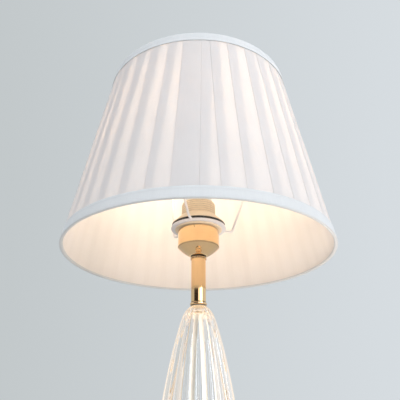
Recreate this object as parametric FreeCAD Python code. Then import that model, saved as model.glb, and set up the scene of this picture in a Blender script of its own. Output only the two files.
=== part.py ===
"""Table lamp with a ribbed glass body, gold fittings and a pleated cone shade.

Millimetres. The origin is the middle of the foot's underside on the table, +Z is up and -Y is the
front. Heights of the stack are worked out upwards, each piece standing on the one below it.
"""
import FreeCAD
import Part

import math
import os

# Foot
FOOT_RADIUS = 75.0
FOOT_LEDGE = 4.0
FOOT_DOME_HEIGHT = 7.5
FOOT_DOME_BULGE = 1.9
FOOT_TOP_RADIUS = 27.0
FOOT_STEP_HEIGHT = 3.0
FOOT_WALL = 1.5
FELT_THICKNESS = 2.0
FELT_SETBACK = 2.5
COVER_THICKNESS = 1.2
COVER_CLEARANCE = 0.3
WEIGHT_CLEARANCE = 0.6
WEIGHT_WEB = 4.4
COVER_SCREW_COUNT = 3
COVER_SCREW_SETBACK = 19.0
COVER_SCREW_RADIUS = 2.0
COVER_SCREW_CLEARANCE = 0.1
COVER_SCREW_HEAD_RADIUS = 3.8
COVER_SCREW_LENGTH = 8.0

# Cable inlet at the back of the foot, and the terminal block behind it
CABLE_BORE_RADIUS = 3.4
BUSH_WALL = 1.2
BUSH_FLANGE = 1.2
BUSH_FLANGE_THICKNESS = 1.4
BUSH_LENGTH = 8.0
BUSH_CLEARANCE = 0.1
BUSH_MARGIN = 0.35
BLOCK_WIDTH = 18.0
BLOCK_DEPTH = 16.0
BLOCK_HEIGHT = 9.0
BLOCK_SETBACK = 21.0
BLOCK_CLEARANCE = 0.8
BLOCK_POLE_SPACING = 8.0
BLOCK_SCREW_RADIUS = 1.6
BLOCK_SCREW_HEIGHT = 2.5

# Threaded rod that clamps the stack, and what screws on it
ROD_RADIUS = 5.0
ROD_WALL = 1.2
ROD_CLEARANCE = 0.2
ROD_IN_HOLDER = 4.0
NUT_ACROSS_FLATS = 17.0
NUT_HEIGHT = 5.0
NUT_ABOVE_ROD_END = 1.0
WASHER_RADIUS = 12.5
WASHER_THICKNESS = 1.5
NUT_WELL_RADIUS = 15.0

# Inner leads
LEAD_RADIUS = 1.1
LEAD_SPACING = 2.6
LEAD_BEND = 8.0
LEAD_TIGHT_BEND = 2.0
LEAD_CHANNEL_WIDTH = 12.0
LEAD_HOLE_CLEARANCE = 0.3
LEAD_ABOVE_COVER = 1.9
LEAD_SPREAD = 6.0
LEAD_IN_TERMINAL = 4.0

# Gold seat under the glass
SEAT_WAIST_RADIUS = 14.0
SEAT_WAIST_HEIGHT = 4.0
SEAT_RADIUS = 24.0
SEAT_HEIGHT = 12.0
SEAT_FLOOR = 9.0
SEAT_COVE_BOW = 1.5
SEAT_BOSS_HEIGHT = 4.0
GLASS_FIT = 0.6
GASKET_THICKNESS = 1.0

# Ribbed glass body. The outline between its foot and its top is given as shares of height and radius.
GLASS_HEIGHT = 272.2
GLASS_RADIUS = 45.0
GLASS_FOOT_RADIUS = 20.0
GLASS_FOOT_HEIGHT = 2.0
GLASS_TOP_RADIUS = 8.6
GLASS_OUTLINE = [
    (0.03, 0.567),
    (0.08, 0.778),
    (0.16, 0.944),
    (0.255, 1.0),
    (0.38, 0.973),
    (0.52, 0.898),
    (0.66, 0.800),
    (0.81, 0.626),
    (0.892, 0.502),
    (0.951, 0.396),
    (0.98, 0.313),
]
GLASS_RIB_COUNT = 24
GLASS_RIB_BULGE = 0.055
GLASS_WALL = 5.0
GLASS_FOOT_BORE = 14.0
GLASS_CROWN = 7.0
SLEEVE_WALL = 1.4
SLEEVE_FIT = 0.6
SLEEVE_END_GAP = 0.8
UPPER_GASKET_RADIUS = 7.8
UPPER_GASKET_THICKNESS = 0.6

# Gold neck
NECK_TUBE_RADIUS = 8.0
NECK_TUBE_WALL = 1.0
NECK_TUBE_HEIGHT = 47.0
NECK_RING_OVERHANG = 1.0
NECK_RING_HEIGHT = 4.2
NECK_RING_ROUNDING = 0.6
NECK_BEAD_OVERHANG = 0.8
NECK_BEAD_HEIGHT = 1.5
NECK_BEAD_ROUNDING = 0.4
NECK_GROOVE_DEPTH = 1.2
NECK_GROOVE_HEIGHT = 1.0

# Gold cup round the lampholder's cap
CUP_FOOT_OVERHANG = 0.4
CUP_CONE_HEIGHT = 10.2
CUP_CONE_BULGE = 0.9
CUP_HEIGHT = 29.3
CUP_WALL = 1.0
CUP_GAP = 1.7

# Lampholder
CAP_BOSS_RADIUS = 7.5
CAP_BOSS_ABOVE_CONE = 0.8
CAP_OVERHANG = 1.0
CAP_WALL = 2.0
CAP_ABOVE_CUP = 1.3
FLANGE_OVERHANG = 3.3
FLANGE_THICKNESS = 1.2
HOLDER_RADIUS = 19.3
HOLDER_WALL = 2.0
HOLDER_HEIGHT = 31.2
HOLDER_SPIGOT = 5.0
HOLDER_LIP = 1.8
THREAD_PITCH = 2.5
THREAD_DEPTH = 0.7
THREAD_START = 4.5
THREAD_END_MARGIN = 1.5
INSERT_HEIGHT = 10.0
INSERT_CLEARANCE = 0.2
TERMINAL_SPACING = 18.0
TERMINAL_RADIUS = 2.6
TERMINAL_HEIGHT = 7.0
SHELL_THICKNESS = 0.5
SHELL_HEIGHT = 23.5
SHELL_CLEARANCE = 0.1
CONTACT_WIDTH = 6.0
CONTACT_LENGTH = 16.0
CONTACT_THICKNESS = 0.6
CONTACT_RISE = 1.4

# Bulb with a 27 mm screw cap
BULB_RADIUS = 30.0
BULB_HEIGHT = 108.0
BULB_CAP_RADIUS = 13.15
BULB_CAP_HEIGHT = 21.5
BULB_CAP_ROOT = 0.9
BULB_CAP_PITCH = 3.6
BULB_TIP_RADIUS = 4.8
BULB_TIP_HEIGHT = 2.0
BULB_INSULATOR_HEIGHT = 3.0
BULB_HOUSING_HEIGHT = 34.0
BULB_HOUSING_RADIUS = 28.5
BULB_HOUSING_NECK = 14.2
BULB_HOUSING_BOW = 1.2
BULB_DOME_WALL = 1.2

# Shade ring and washer that clamp the shade on the lampholder
CLAMP_GAP = 0.1
WASHER_BAND_RADIUS = 30.3
WASHER_BAND_HEIGHT = 2.8
WASHER_BAND_CLEARANCE = 0.5
SHADE_RING_RADIUS = 29.6
SHADE_RING_TOP_WALL = 1.5
SHADE_RING_RIM = 1.2
SHADE_RING_HEIGHT = 9.6
THREAD_CLEARANCE = 0.1

# Shade
SHADE_HEIGHT = 221.0
SHADE_BOTTOM_RADIUS = 150.0
SHADE_TOP_RADIUS = 107.6
TRIM_HEIGHT = 13.0
TRIM_LIP = 3.0
TRIM_THICKNESS = 0.5
CLOTH_GAP = 0.25
PLEAT_COUNT = 38
PLEAT_STEP = 1.2
PLEAT_EDGE_SHARE = 0.06
COVER_CLOTH = 0.6
LINER_THICKNESS = 0.5
RING_WIRE_RADIUS = 1.25
RING_EDGE_GAP = 0.15

# Fitter: flat ring with three wire arms up to the shade's top ring
FITTER_RADIUS = 31.0
FITTER_BORE_CLEARANCE = 1.1
FITTER_THICKNESS = 1.8
FITTER_ABOVE_BOTTOM_RIM = 30.9
ARM_WIRE_RADIUS = 1.3
ARM_ANGLES = [-15.0, 105.0, 225.0]
ARM_LEAN = -20.0
ARM_FOOT_LENGTH = 9.0
ARM_BEND = 5.0
ARM_ROOT_OVERLAP = 0.3
ARM_NOTCH_CLEARANCE = 0.25

# Radii that follow from the piece inside or below
BUSH_RADIUS = CABLE_BORE_RADIUS + BUSH_WALL
BUSH_FLANGE_RADIUS = BUSH_RADIUS + BUSH_FLANGE
COVER_SCREW_CIRCLE = FOOT_RADIUS - COVER_SCREW_SETBACK
BLOCK_BACK = FOOT_RADIUS - BLOCK_SETBACK
BLOCK_FRONT = BLOCK_BACK - BLOCK_DEPTH
ROD_HOLE_RADIUS = ROD_RADIUS + ROD_CLEARANCE
SLEEVE_RADIUS = ROD_RADIUS + SLEEVE_FIT + SLEEVE_WALL
NECK_RING_RADIUS = NECK_TUBE_RADIUS + NECK_RING_OVERHANG
NECK_BEAD_RADIUS = NECK_TUBE_RADIUS + NECK_BEAD_OVERHANG
HOLDER_ROOT_RADIUS = HOLDER_RADIUS - THREAD_DEPTH
HOLDER_INNER_RADIUS = HOLDER_ROOT_RADIUS - HOLDER_WALL
CAP_RADIUS = HOLDER_RADIUS + CAP_OVERHANG
CUP_FOOT_RADIUS = NECK_BEAD_RADIUS + CUP_FOOT_OVERHANG
CUP_RADIUS = CAP_RADIUS + CUP_GAP + CUP_WALL
FLANGE_RADIUS = CUP_RADIUS + FLANGE_OVERHANG
SHADE_RING_BORE = HOLDER_RADIUS + THREAD_CLEARANCE

# Heights of the stack
COVER_UNDERSIDE = FELT_THICKNESS
WEIGHT_UNDERSIDE = COVER_UNDERSIDE + COVER_THICKNESS
INLET_HEIGHT = WEIGHT_UNDERSIDE + BUSH_MARGIN + BUSH_FLANGE_RADIUS
FOOT_LEDGE_HEIGHT = INLET_HEIGHT + BUSH_FLANGE_RADIUS + BUSH_MARGIN
FOOT_STEP_BASE = FOOT_LEDGE_HEIGHT + FOOT_DOME_HEIGHT
FOOT_TOP = FOOT_STEP_BASE + FOOT_STEP_HEIGHT
BLOCK_TOP = WEIGHT_UNDERSIDE + BLOCK_HEIGHT
LEAD_HEIGHT = WEIGHT_UNDERSIDE + LEAD_ABOVE_COVER
FOOT_WASHER_TOP = FOOT_STEP_BASE - FOOT_WALL - WEIGHT_CLEARANCE - WEIGHT_WEB
NUT_TOP = FOOT_WASHER_TOP - WASHER_THICKNESS
NUT_UNDERSIDE = NUT_TOP - NUT_HEIGHT
ROD_FOOT = NUT_UNDERSIDE - NUT_ABOVE_ROD_END
SEAT_TOP = FOOT_TOP + SEAT_HEIGHT
GASKET_UNDERSIDE = FOOT_TOP + SEAT_FLOOR
GLASS_UNDERSIDE = GASKET_UNDERSIDE + GASKET_THICKNESS
GLASS_TOP = GLASS_UNDERSIDE + GLASS_HEIGHT
NECK_RING_UNDERSIDE = GLASS_TOP + UPPER_GASKET_THICKNESS
NECK_TUBE_UNDERSIDE = NECK_RING_UNDERSIDE + NECK_RING_HEIGHT
NECK_COLLAR_UNDERSIDE = NECK_TUBE_UNDERSIDE + NECK_TUBE_HEIGHT
CUP_UNDERSIDE = NECK_COLLAR_UNDERSIDE + 2 * NECK_BEAD_HEIGHT + NECK_GROOVE_HEIGHT
CUP_TOP = CUP_UNDERSIDE + CUP_HEIGHT
CAP_UNDERSIDE = CUP_UNDERSIDE + CUP_WALL
FLANGE_UNDERSIDE = CUP_TOP + CAP_ABOVE_CUP
FLANGE_TOP = FLANGE_UNDERSIDE + FLANGE_THICKNESS
HOLDER_TOP = FLANGE_TOP + HOLDER_HEIGHT
INSERT_UNDERSIDE = FLANGE_UNDERSIDE - HOLDER_SPIGOT
INSERT_TOP = INSERT_UNDERSIDE + INSERT_HEIGHT
CONTACT_TOP = INSERT_TOP + CONTACT_THICKNESS + CONTACT_RISE
CAP_BOSS_TOP = CAP_UNDERSIDE + CUP_CONE_HEIGHT + CAP_BOSS_ABOVE_CONE
ROD_TOP = CAP_BOSS_TOP + ROD_IN_HOLDER
FITTER_UNDERSIDE = FLANGE_TOP + CLAMP_GAP
WASHER_BAND_UNDERSIDE = FITTER_UNDERSIDE + FITTER_THICKNESS + CLAMP_GAP
SHADE_RING_UNDERSIDE = WASHER_BAND_UNDERSIDE + WASHER_BAND_HEIGHT
SHADE_BOTTOM_HEIGHT = FITTER_UNDERSIDE - FITTER_ABOVE_BOTTOM_RIM
BULB_TIP_UNDERSIDE = CONTACT_TOP
BULB_INSULATOR_UNDERSIDE = BULB_TIP_UNDERSIDE + BULB_TIP_HEIGHT
BULB_CAP_UNDERSIDE = BULB_INSULATOR_UNDERSIDE + BULB_INSULATOR_HEIGHT
BULB_HOUSING_UNDERSIDE = BULB_CAP_UNDERSIDE + BULB_CAP_HEIGHT
BULB_DOME_UNDERSIDE = BULB_HOUSING_UNDERSIDE + BULB_HOUSING_HEIGHT
BULB_TOP = BULB_TIP_UNDERSIDE + BULB_HEIGHT

# Radii inside the shade's rim, counted inwards from the outer face of the trim
CREST_INSET = TRIM_THICKNESS + CLOTH_GAP
COVER_INNER_INSET = CREST_INSET + PLEAT_STEP + COVER_CLOTH
LINER_OUTER_INSET = COVER_INNER_INSET + CLOTH_GAP
LINER_INNER_INSET = LINER_OUTER_INSET + LINER_THICKNESS
LIP_OUTER_INSET = LINER_INNER_INSET + CLOTH_GAP
LIP_INNER_INSET = LIP_OUTER_INSET + TRIM_THICKNESS
RING_INSET = (TRIM_THICKNESS + LIP_OUTER_INSET) / 2
RING_EDGE_DISTANCE = TRIM_THICKNESS + RING_EDGE_GAP + RING_WIRE_RADIUS
CLOTH_EDGE_DISTANCE = RING_EDGE_DISTANCE + RING_WIRE_RADIUS + CLOTH_GAP

UP = FreeCAD.Vector(0, 0, 1)
ORIGIN = FreeCAD.Vector(0, 0, 0)


def at(radius, height):
    """Point of a turned profile, in the XZ plane."""
    return FreeCAD.Vector(radius, 0, height)


def turned(profile):
    """Solid turned about Z from a closed profile.

    Each entry is (radius, height) for a straight run to that point, or
    (middle radius, middle height, radius, height) for an arc to it.
    """
    points = [at(*entry[-2:]) for entry in profile]
    edges = []
    for index, entry in enumerate(profile):
        start, end = points[index - 1], points[index]
        if len(entry) == 4:
            edges.append(Part.Arc(start, at(*entry[:2]), end).toShape())
        else:
            edges.append(Part.LineSegment(start, end).toShape())
    face = Part.Face(Part.Wire(edges))
    return face.revolve(ORIGIN, UP, 360)


def ring(outer, inner, bottom, top):
    """Flat ring or tube about Z."""
    return turned([(inner, bottom), (outer, bottom), (outer, top), (inner, top)])


def disc(radius, bottom, top):
    """Cylinder about Z."""
    return Part.makeCylinder(radius, top - bottom, at(0, bottom))


def box(low, high):
    """Box between two corners."""
    low, high = FreeCAD.Vector(*low), FreeCAD.Vector(*high)
    size = high - low
    return Part.makeBox(size.x, size.y, size.z, low)


def spaced_round(shape, angles):
    """Copies of a shape, one at each angle about Z."""
    copies = []
    for angle in angles:
        copy = shape.copy()
        copy.rotate(ORIGIN, UP, angle)
        copies.append(copy)
    return copies


def bent_wire(corners, bends, radius):
    """Round wire along straight runs, with an arc at each inner corner, of the radius in bends."""
    edges = []
    start = corners[0]
    for before, corner, after, bend in zip(corners, corners[1:], corners[2:], bends):
        back = (before - corner).normalize()
        onward = (after - corner).normalize()
        half_turn = back.getAngle(onward) / 2
        middle_way = (back + onward).normalize()
        run_in = corner + back * (bend / math.tan(half_turn))
        run_out = corner + onward * (bend / math.tan(half_turn))
        middle = corner + middle_way * (bend / math.sin(half_turn) - bend)
        edges.append(Part.LineSegment(start, run_in).toShape())
        edges.append(Part.Arc(run_in, middle, run_out).toShape())
        start = run_out
    edges.append(Part.LineSegment(start, corners[-1]).toShape())
    path = Part.Wire(edges)
    section = Part.Wire(Part.Circle(corners[0], corners[1] - corners[0], radius).toShape())
    return path.makePipeShell([section], True, False)


# Foot


def foot_inside(clearance):
    """Space under the foot's shell, less a clearance, down to the weight's underside."""
    inset = FOOT_WALL + clearance
    ledge_radius = FOOT_RADIUS - FOOT_LEDGE
    dome_middle = dome_point(ledge_radius - inset, FOOT_LEDGE_HEIGHT - inset, inset)
    return turned([
        (0, WEIGHT_UNDERSIDE),
        (FOOT_RADIUS - inset, WEIGHT_UNDERSIDE),
        (FOOT_RADIUS - inset, FOOT_LEDGE_HEIGHT - inset),
        (ledge_radius - inset, FOOT_LEDGE_HEIGHT - inset),
        (*dome_middle, FOOT_TOP_RADIUS - inset, FOOT_STEP_BASE - inset),
        (0, FOOT_STEP_BASE - inset),
    ])


def dome_point(radius, height, inset):
    """Middle of the dome's arc, which starts at the given radius and height."""
    end_radius, end_height = FOOT_TOP_RADIUS - inset, FOOT_STEP_BASE - inset
    return (radius + end_radius) / 2, (height + end_height) / 2 + FOOT_DOME_BULGE


def inlet_cylinder(radius, start, end):
    """Cylinder along the cable inlet's axis, from start to end along +Y."""
    foot = FreeCAD.Vector(0, start, INLET_HEIGHT)
    return Part.makeCylinder(radius, end - start, foot, FreeCAD.Vector(0, 1, 0))


def make_felt_pad():
    return disc(FOOT_RADIUS - FELT_SETBACK, 0, COVER_UNDERSIDE)


def cover_screw_angles():
    """Angles of the cover's screws, the first at the front."""
    return [index * 360 / COVER_SCREW_COUNT - 90 for index in range(COVER_SCREW_COUNT)]


def cover_screw(clearance):
    """One countersunk screw at angle 0, grown by a clearance."""
    head_height = COVER_SCREW_HEAD_RADIUS - COVER_SCREW_RADIUS
    screw = turned([
        (0, COVER_UNDERSIDE),
        (COVER_SCREW_HEAD_RADIUS + clearance, COVER_UNDERSIDE),
        (COVER_SCREW_RADIUS + clearance, COVER_UNDERSIDE + head_height),
        (COVER_SCREW_RADIUS + clearance, COVER_UNDERSIDE + COVER_SCREW_LENGTH + clearance),
        (0, COVER_UNDERSIDE + COVER_SCREW_LENGTH + clearance),
    ])
    screw.translate(FreeCAD.Vector(COVER_SCREW_CIRCLE, 0, 0))
    return screw


def make_cover_screws():
    return Part.makeCompound(spaced_round(cover_screw(0), cover_screw_angles()))


def make_bottom_cover():
    plate = disc(FOOT_RADIUS - FOOT_WALL - COVER_CLEARANCE, COVER_UNDERSIDE, WEIGHT_UNDERSIDE)
    return plate.cut(spaced_round(cover_screw(COVER_SCREW_CLEARANCE), cover_screw_angles()))


def make_base_weight():
    weight = foot_inside(WEIGHT_CLEARANCE)
    well = disc(NUT_WELL_RADIUS, WEIGHT_UNDERSIDE, FOOT_WASHER_TOP)
    rod_hole = disc(ROD_HOLE_RADIUS, WEIGHT_UNDERSIDE, FOOT_TOP)
    half_pocket = BLOCK_WIDTH / 2 + BLOCK_CLEARANCE
    front = BLOCK_FRONT - BLOCK_CLEARANCE
    pocket = box(
        (-half_pocket, front, WEIGHT_UNDERSIDE),
        (half_pocket, BLOCK_BACK + BLOCK_CLEARANCE, BLOCK_TOP + BLOCK_SCREW_HEIGHT + BLOCK_CLEARANCE),
    )
    channel = box(
        (-LEAD_CHANNEL_WIDTH / 2, 0, WEIGHT_UNDERSIDE),
        (LEAD_CHANNEL_WIDTH / 2, front, LEAD_HEIGHT + LEAD_CHANNEL_WIDTH / 2),
    )
    inlet = inlet_cylinder(BUSH_RADIUS + BUSH_CLEARANCE, BLOCK_BACK, FOOT_RADIUS)
    screws = spaced_round(cover_screw(COVER_SCREW_CLEARANCE), cover_screw_angles())
    return weight.cut([well, rod_hole, pocket, channel, inlet, *screws])


def make_foot_shell():
    ledge_radius = FOOT_RADIUS - FOOT_LEDGE
    middle = dome_point(ledge_radius, FOOT_LEDGE_HEIGHT, 0)
    outside = turned([
        (0, COVER_UNDERSIDE),
        (FOOT_RADIUS, COVER_UNDERSIDE),
        (FOOT_RADIUS, FOOT_LEDGE_HEIGHT),
        (ledge_radius, FOOT_LEDGE_HEIGHT),
        (*middle, FOOT_TOP_RADIUS, FOOT_STEP_BASE),
        (FOOT_TOP_RADIUS, FOOT_TOP),
        (0, FOOT_TOP),
    ])
    mouth = disc(FOOT_RADIUS - FOOT_WALL, COVER_UNDERSIDE, WEIGHT_UNDERSIDE)
    rod_hole = disc(ROD_HOLE_RADIUS, COVER_UNDERSIDE, FOOT_TOP)
    inlet = inlet_cylinder(BUSH_RADIUS + BUSH_CLEARANCE, BLOCK_BACK, FOOT_RADIUS + BUSH_LENGTH)
    return outside.cut([foot_inside(0), mouth, rod_hole, inlet])


def make_inlet_bush():
    tube = inlet_cylinder(BUSH_RADIUS, FOOT_RADIUS - BUSH_LENGTH, FOOT_RADIUS)
    flange = inlet_cylinder(BUSH_FLANGE_RADIUS, 0, FOOT_RADIUS + BUSH_FLANGE_THICKNESS)
    flange = flange.cut(disc(FOOT_RADIUS, 0, FOOT_TOP))
    bore = inlet_cylinder(CABLE_BORE_RADIUS, FOOT_RADIUS - BUSH_LENGTH, FOOT_RADIUS + BUSH_LENGTH)
    return tube.fuse(flange).removeSplitter().cut(bore)


# Terminal block and leads


def block_poles():
    """Sideways places of the block's two poles."""
    return [-BLOCK_POLE_SPACING / 2, BLOCK_POLE_SPACING / 2]


def make_terminal_block():
    half_width = BLOCK_WIDTH / 2
    block = box((-half_width, BLOCK_FRONT, WEIGHT_UNDERSIDE), (half_width, BLOCK_BACK, BLOCK_TOP))
    holes = []
    for place in block_poles():
        foot = FreeCAD.Vector(place, BLOCK_FRONT, LEAD_HEIGHT)
        hole_radius = LEAD_RADIUS + LEAD_HOLE_CLEARANCE
        holes.append(Part.makeCylinder(hole_radius, BLOCK_DEPTH, foot, FreeCAD.Vector(0, 1, 0)))
    return block.cut(holes)


def make_terminal_block_screws():
    screws = []
    for place in block_poles():
        for row in (-1, 1):
            middle = BLOCK_BACK - BLOCK_DEPTH / 2 + row * BLOCK_DEPTH / 4
            foot = FreeCAD.Vector(place, middle, BLOCK_TOP)
            screws.append(Part.makeCylinder(BLOCK_SCREW_RADIUS, BLOCK_SCREW_HEIGHT, foot))
    return Part.makeCompound(screws)


def make_inner_leads():
    """Two leads from the terminal block, up the rod's bore, to the lampholder's terminals."""
    leads = []
    bends = [LEAD_BEND, LEAD_BEND, LEAD_BEND, LEAD_TIGHT_BEND, LEAD_TIGHT_BEND]
    for side in (-1, 1):
        pole = side * BLOCK_POLE_SPACING / 2
        inner = side * LEAD_SPACING / 2
        outer = side * TERMINAL_SPACING / 2
        spread = BLOCK_FRONT - LEAD_SPREAD
        crossing = (ROD_TOP + INSERT_UNDERSIDE) / 2
        corners = [
            FreeCAD.Vector(pole, BLOCK_FRONT + LEAD_IN_TERMINAL, LEAD_HEIGHT),
            FreeCAD.Vector(pole, spread, LEAD_HEIGHT),
            FreeCAD.Vector(inner, spread / 2, LEAD_HEIGHT),
            FreeCAD.Vector(inner, 0, LEAD_HEIGHT),
            FreeCAD.Vector(inner, 0, crossing),
            FreeCAD.Vector(outer, 0, crossing),
            FreeCAD.Vector(outer, 0, INSERT_UNDERSIDE + LEAD_IN_TERMINAL / 2),
        ]
        leads.append(bent_wire(corners, bends, LEAD_RADIUS))
    return Part.makeCompound(leads)


# Rod and what clamps it at the foot


def make_threaded_rod():
    return ring(ROD_RADIUS, ROD_RADIUS - ROD_WALL, ROD_FOOT, ROD_TOP)


def make_foot_nut():
    corner_radius = NUT_ACROSS_FLATS / 2 / math.cos(math.pi / 6)
    corners = []
    for index in range(6):
        angle = index * math.pi / 3
        x, y = corner_radius * math.cos(angle), corner_radius * math.sin(angle)
        corners.append(FreeCAD.Vector(x, y, NUT_UNDERSIDE))
    hexagon = Part.Face(Part.makePolygon([*corners, corners[0]])).extrude(UP * NUT_HEIGHT)
    return hexagon.cut(disc(ROD_RADIUS, NUT_UNDERSIDE, NUT_TOP))


def make_foot_washer():
    return ring(WASHER_RADIUS, ROD_HOLE_RADIUS, NUT_TOP, FOOT_WASHER_TOP)


# Glass and its seat


def make_glass_seat():
    recess = GLASS_FOOT_RADIUS + GLASS_FIT
    boss = GLASS_FOOT_BORE - GLASS_FIT
    sleeve_seat = SLEEVE_RADIUS + GLASS_FIT
    waist_top = FOOT_TOP + SEAT_WAIST_HEIGHT
    cove_radius = (SEAT_WAIST_RADIUS + SEAT_RADIUS) / 2 - SEAT_COVE_BOW
    cove_height = (waist_top + GASKET_UNDERSIDE) / 2 + SEAT_COVE_BOW
    return turned([
        (ROD_HOLE_RADIUS, FOOT_TOP),
        (SEAT_WAIST_RADIUS, FOOT_TOP),
        (SEAT_WAIST_RADIUS, waist_top),
        (cove_radius, cove_height, SEAT_RADIUS, GASKET_UNDERSIDE),
        (SEAT_RADIUS, SEAT_TOP),
        (recess, SEAT_TOP),
        (recess, GASKET_UNDERSIDE),
        (boss, GASKET_UNDERSIDE),
        (boss, GASKET_UNDERSIDE + SEAT_BOSS_HEIGHT),
        (sleeve_seat, GASKET_UNDERSIDE + SEAT_BOSS_HEIGHT),
        (sleeve_seat, GASKET_UNDERSIDE),
        (ROD_HOLE_RADIUS, GASKET_UNDERSIDE),
    ])


def make_lower_gasket():
    outer = GLASS_FOOT_RADIUS - GLASS_FIT
    return ring(outer, GLASS_FOOT_BORE, GASKET_UNDERSIDE, GLASS_UNDERSIDE)


def glass_profile():
    """Heights above the glass's foot and radii over its ribs, from the foot to the top."""
    body = [(height * GLASS_HEIGHT, radius * GLASS_RADIUS) for height, radius in GLASS_OUTLINE]
    foot = [(0, GLASS_FOOT_RADIUS), (GLASS_FOOT_HEIGHT, GLASS_FOOT_RADIUS)]
    return [*foot, *body, (GLASS_HEIGHT, GLASS_TOP_RADIUS)]


def ribbed_outline(height, radius):
    """Closed outline of the glass at one height: a round rib beside each groove."""
    step = 2 * math.pi / GLASS_RIB_COUNT
    groove_radius = radius * (1 - GLASS_RIB_BULGE)

    def place(angle, distance):
        return FreeCAD.Vector(distance * math.cos(angle), distance * math.sin(angle), height)

    ribs = []
    for index in range(GLASS_RIB_COUNT):
        start, middle, end = (index * step, (index + 0.5) * step, (index + 1) * step)
        arc = Part.Arc(place(start, groove_radius), place(middle, radius), place(end, groove_radius))
        ribs.append(arc.toShape())
    return Part.Wire(ribs)


def glass_hollow():
    """Inside of the glass: the outer profile drawn in by the wall, from the foot to the crown."""
    crown = GLASS_TOP - GLASS_CROWN
    points = []
    for height, radius in glass_profile()[2:]:
        if GLASS_UNDERSIDE + height < crown - GLASS_WALL:
            points.append(at(radius - GLASS_WALL, GLASS_UNDERSIDE + height))
    foot = at(GLASS_FOOT_BORE, GLASS_UNDERSIDE)
    curve = Part.BSplineCurve()
    curve.interpolate([foot, *points, at(SLEEVE_RADIUS + GLASS_FIT, crown)])
    edges = [
        curve.toShape(),
        Part.LineSegment(at(SLEEVE_RADIUS + GLASS_FIT, crown), at(0, crown)).toShape(),
        Part.LineSegment(at(0, crown), at(0, GLASS_UNDERSIDE)).toShape(),
        Part.LineSegment(at(0, GLASS_UNDERSIDE), foot).toShape(),
    ]
    return Part.Face(Part.Wire(edges)).revolve(ORIGIN, UP, 360)


def make_glass_body():
    outlines = [ribbed_outline(GLASS_UNDERSIDE + height, radius) for height, radius in glass_profile()]
    body = Part.makeLoft(outlines, True, True)
    rod_hole = disc(ROD_HOLE_RADIUS, GLASS_UNDERSIDE, GLASS_TOP)
    return body.cut([glass_hollow(), rod_hole])


def make_rod_sleeve():
    top = GLASS_TOP - GLASS_CROWN - SLEEVE_END_GAP
    return ring(SLEEVE_RADIUS, SLEEVE_RADIUS - SLEEVE_WALL, GASKET_UNDERSIDE, top)


def make_upper_gasket():
    return ring(UPPER_GASKET_RADIUS, ROD_HOLE_RADIUS, GLASS_TOP, NECK_RING_UNDERSIDE)


# Neck and cup


def make_neck_ring():
    edge = NECK_RING_RADIUS - NECK_RING_ROUNDING
    middle = NECK_RING_UNDERSIDE + NECK_RING_HEIGHT / 2
    return turned([
        (ROD_HOLE_RADIUS, NECK_RING_UNDERSIDE),
        (edge, NECK_RING_UNDERSIDE),
        (NECK_RING_RADIUS, middle, edge, NECK_TUBE_UNDERSIDE),
        (ROD_HOLE_RADIUS, NECK_TUBE_UNDERSIDE),
    ])


def make_neck_tube():
    inner = NECK_TUBE_RADIUS - NECK_TUBE_WALL
    return ring(NECK_TUBE_RADIUS, inner, NECK_TUBE_UNDERSIDE, NECK_COLLAR_UNDERSIDE)


def make_neck_collar():
    """Two rounded beads with a groove between them."""
    edge = NECK_BEAD_RADIUS - NECK_BEAD_ROUNDING
    groove = NECK_BEAD_RADIUS - NECK_GROOVE_DEPTH
    groove_base = NECK_COLLAR_UNDERSIDE + NECK_BEAD_HEIGHT
    groove_top = groove_base + NECK_GROOVE_HEIGHT
    return turned([
        (ROD_HOLE_RADIUS, NECK_COLLAR_UNDERSIDE),
        (edge, NECK_COLLAR_UNDERSIDE),
        (NECK_BEAD_RADIUS, NECK_COLLAR_UNDERSIDE + NECK_BEAD_HEIGHT / 2, edge, groove_base),
        (groove, groove_base),
        (groove, groove_top),
        (edge, groove_top),
        (NECK_BEAD_RADIUS, groove_top + NECK_BEAD_HEIGHT / 2, edge, CUP_UNDERSIDE),
        (ROD_HOLE_RADIUS, CUP_UNDERSIDE),
    ])


def make_holder_cup():
    """Straight cup on a bulging cone; the cone's inner face is the wall's thickness inside its outer one."""
    cone_top = CUP_UNDERSIDE + CUP_CONE_HEIGHT
    slope = math.atan2(CUP_CONE_HEIGHT, CUP_RADIUS - CUP_FOOT_RADIUS)
    radius = (CUP_FOOT_RADIUS + CUP_RADIUS) / 2
    height = CUP_UNDERSIDE + CUP_CONE_HEIGHT / 2 - CUP_CONE_BULGE
    inner_radius = radius - CUP_WALL * math.sin(slope)
    inner_height = height + CUP_WALL * math.cos(slope)
    return turned([
        (ROD_HOLE_RADIUS, CUP_UNDERSIDE),
        (CUP_FOOT_RADIUS, CUP_UNDERSIDE),
        (radius, height, CUP_RADIUS, cone_top),
        (CUP_RADIUS, CUP_TOP),
        (CUP_RADIUS - CUP_WALL, CUP_TOP),
        (CUP_RADIUS - CUP_WALL, cone_top + CUP_WALL / 2),
        (inner_radius, inner_height, CUP_FOOT_RADIUS, CAP_UNDERSIDE),
        (ROD_HOLE_RADIUS, CAP_UNDERSIDE),
    ])


# Lampholder


def make_holder_cap():
    """Cap screwed on the rod: a boss that widens to a short cup."""
    inner = CAP_RADIUS - CAP_WALL
    return turned([
        (ROD_RADIUS, CAP_UNDERSIDE),
        (CAP_BOSS_RADIUS, CAP_UNDERSIDE),
        (CAP_BOSS_RADIUS, CAP_BOSS_TOP),
        (CAP_RADIUS, CAP_BOSS_TOP),
        (CAP_RADIUS, FLANGE_UNDERSIDE),
        (inner, FLANGE_UNDERSIDE),
        (inner, CAP_BOSS_TOP + CAP_WALL),
        (ROD_RADIUS, CAP_BOSS_TOP + CAP_WALL),
    ])


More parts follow.
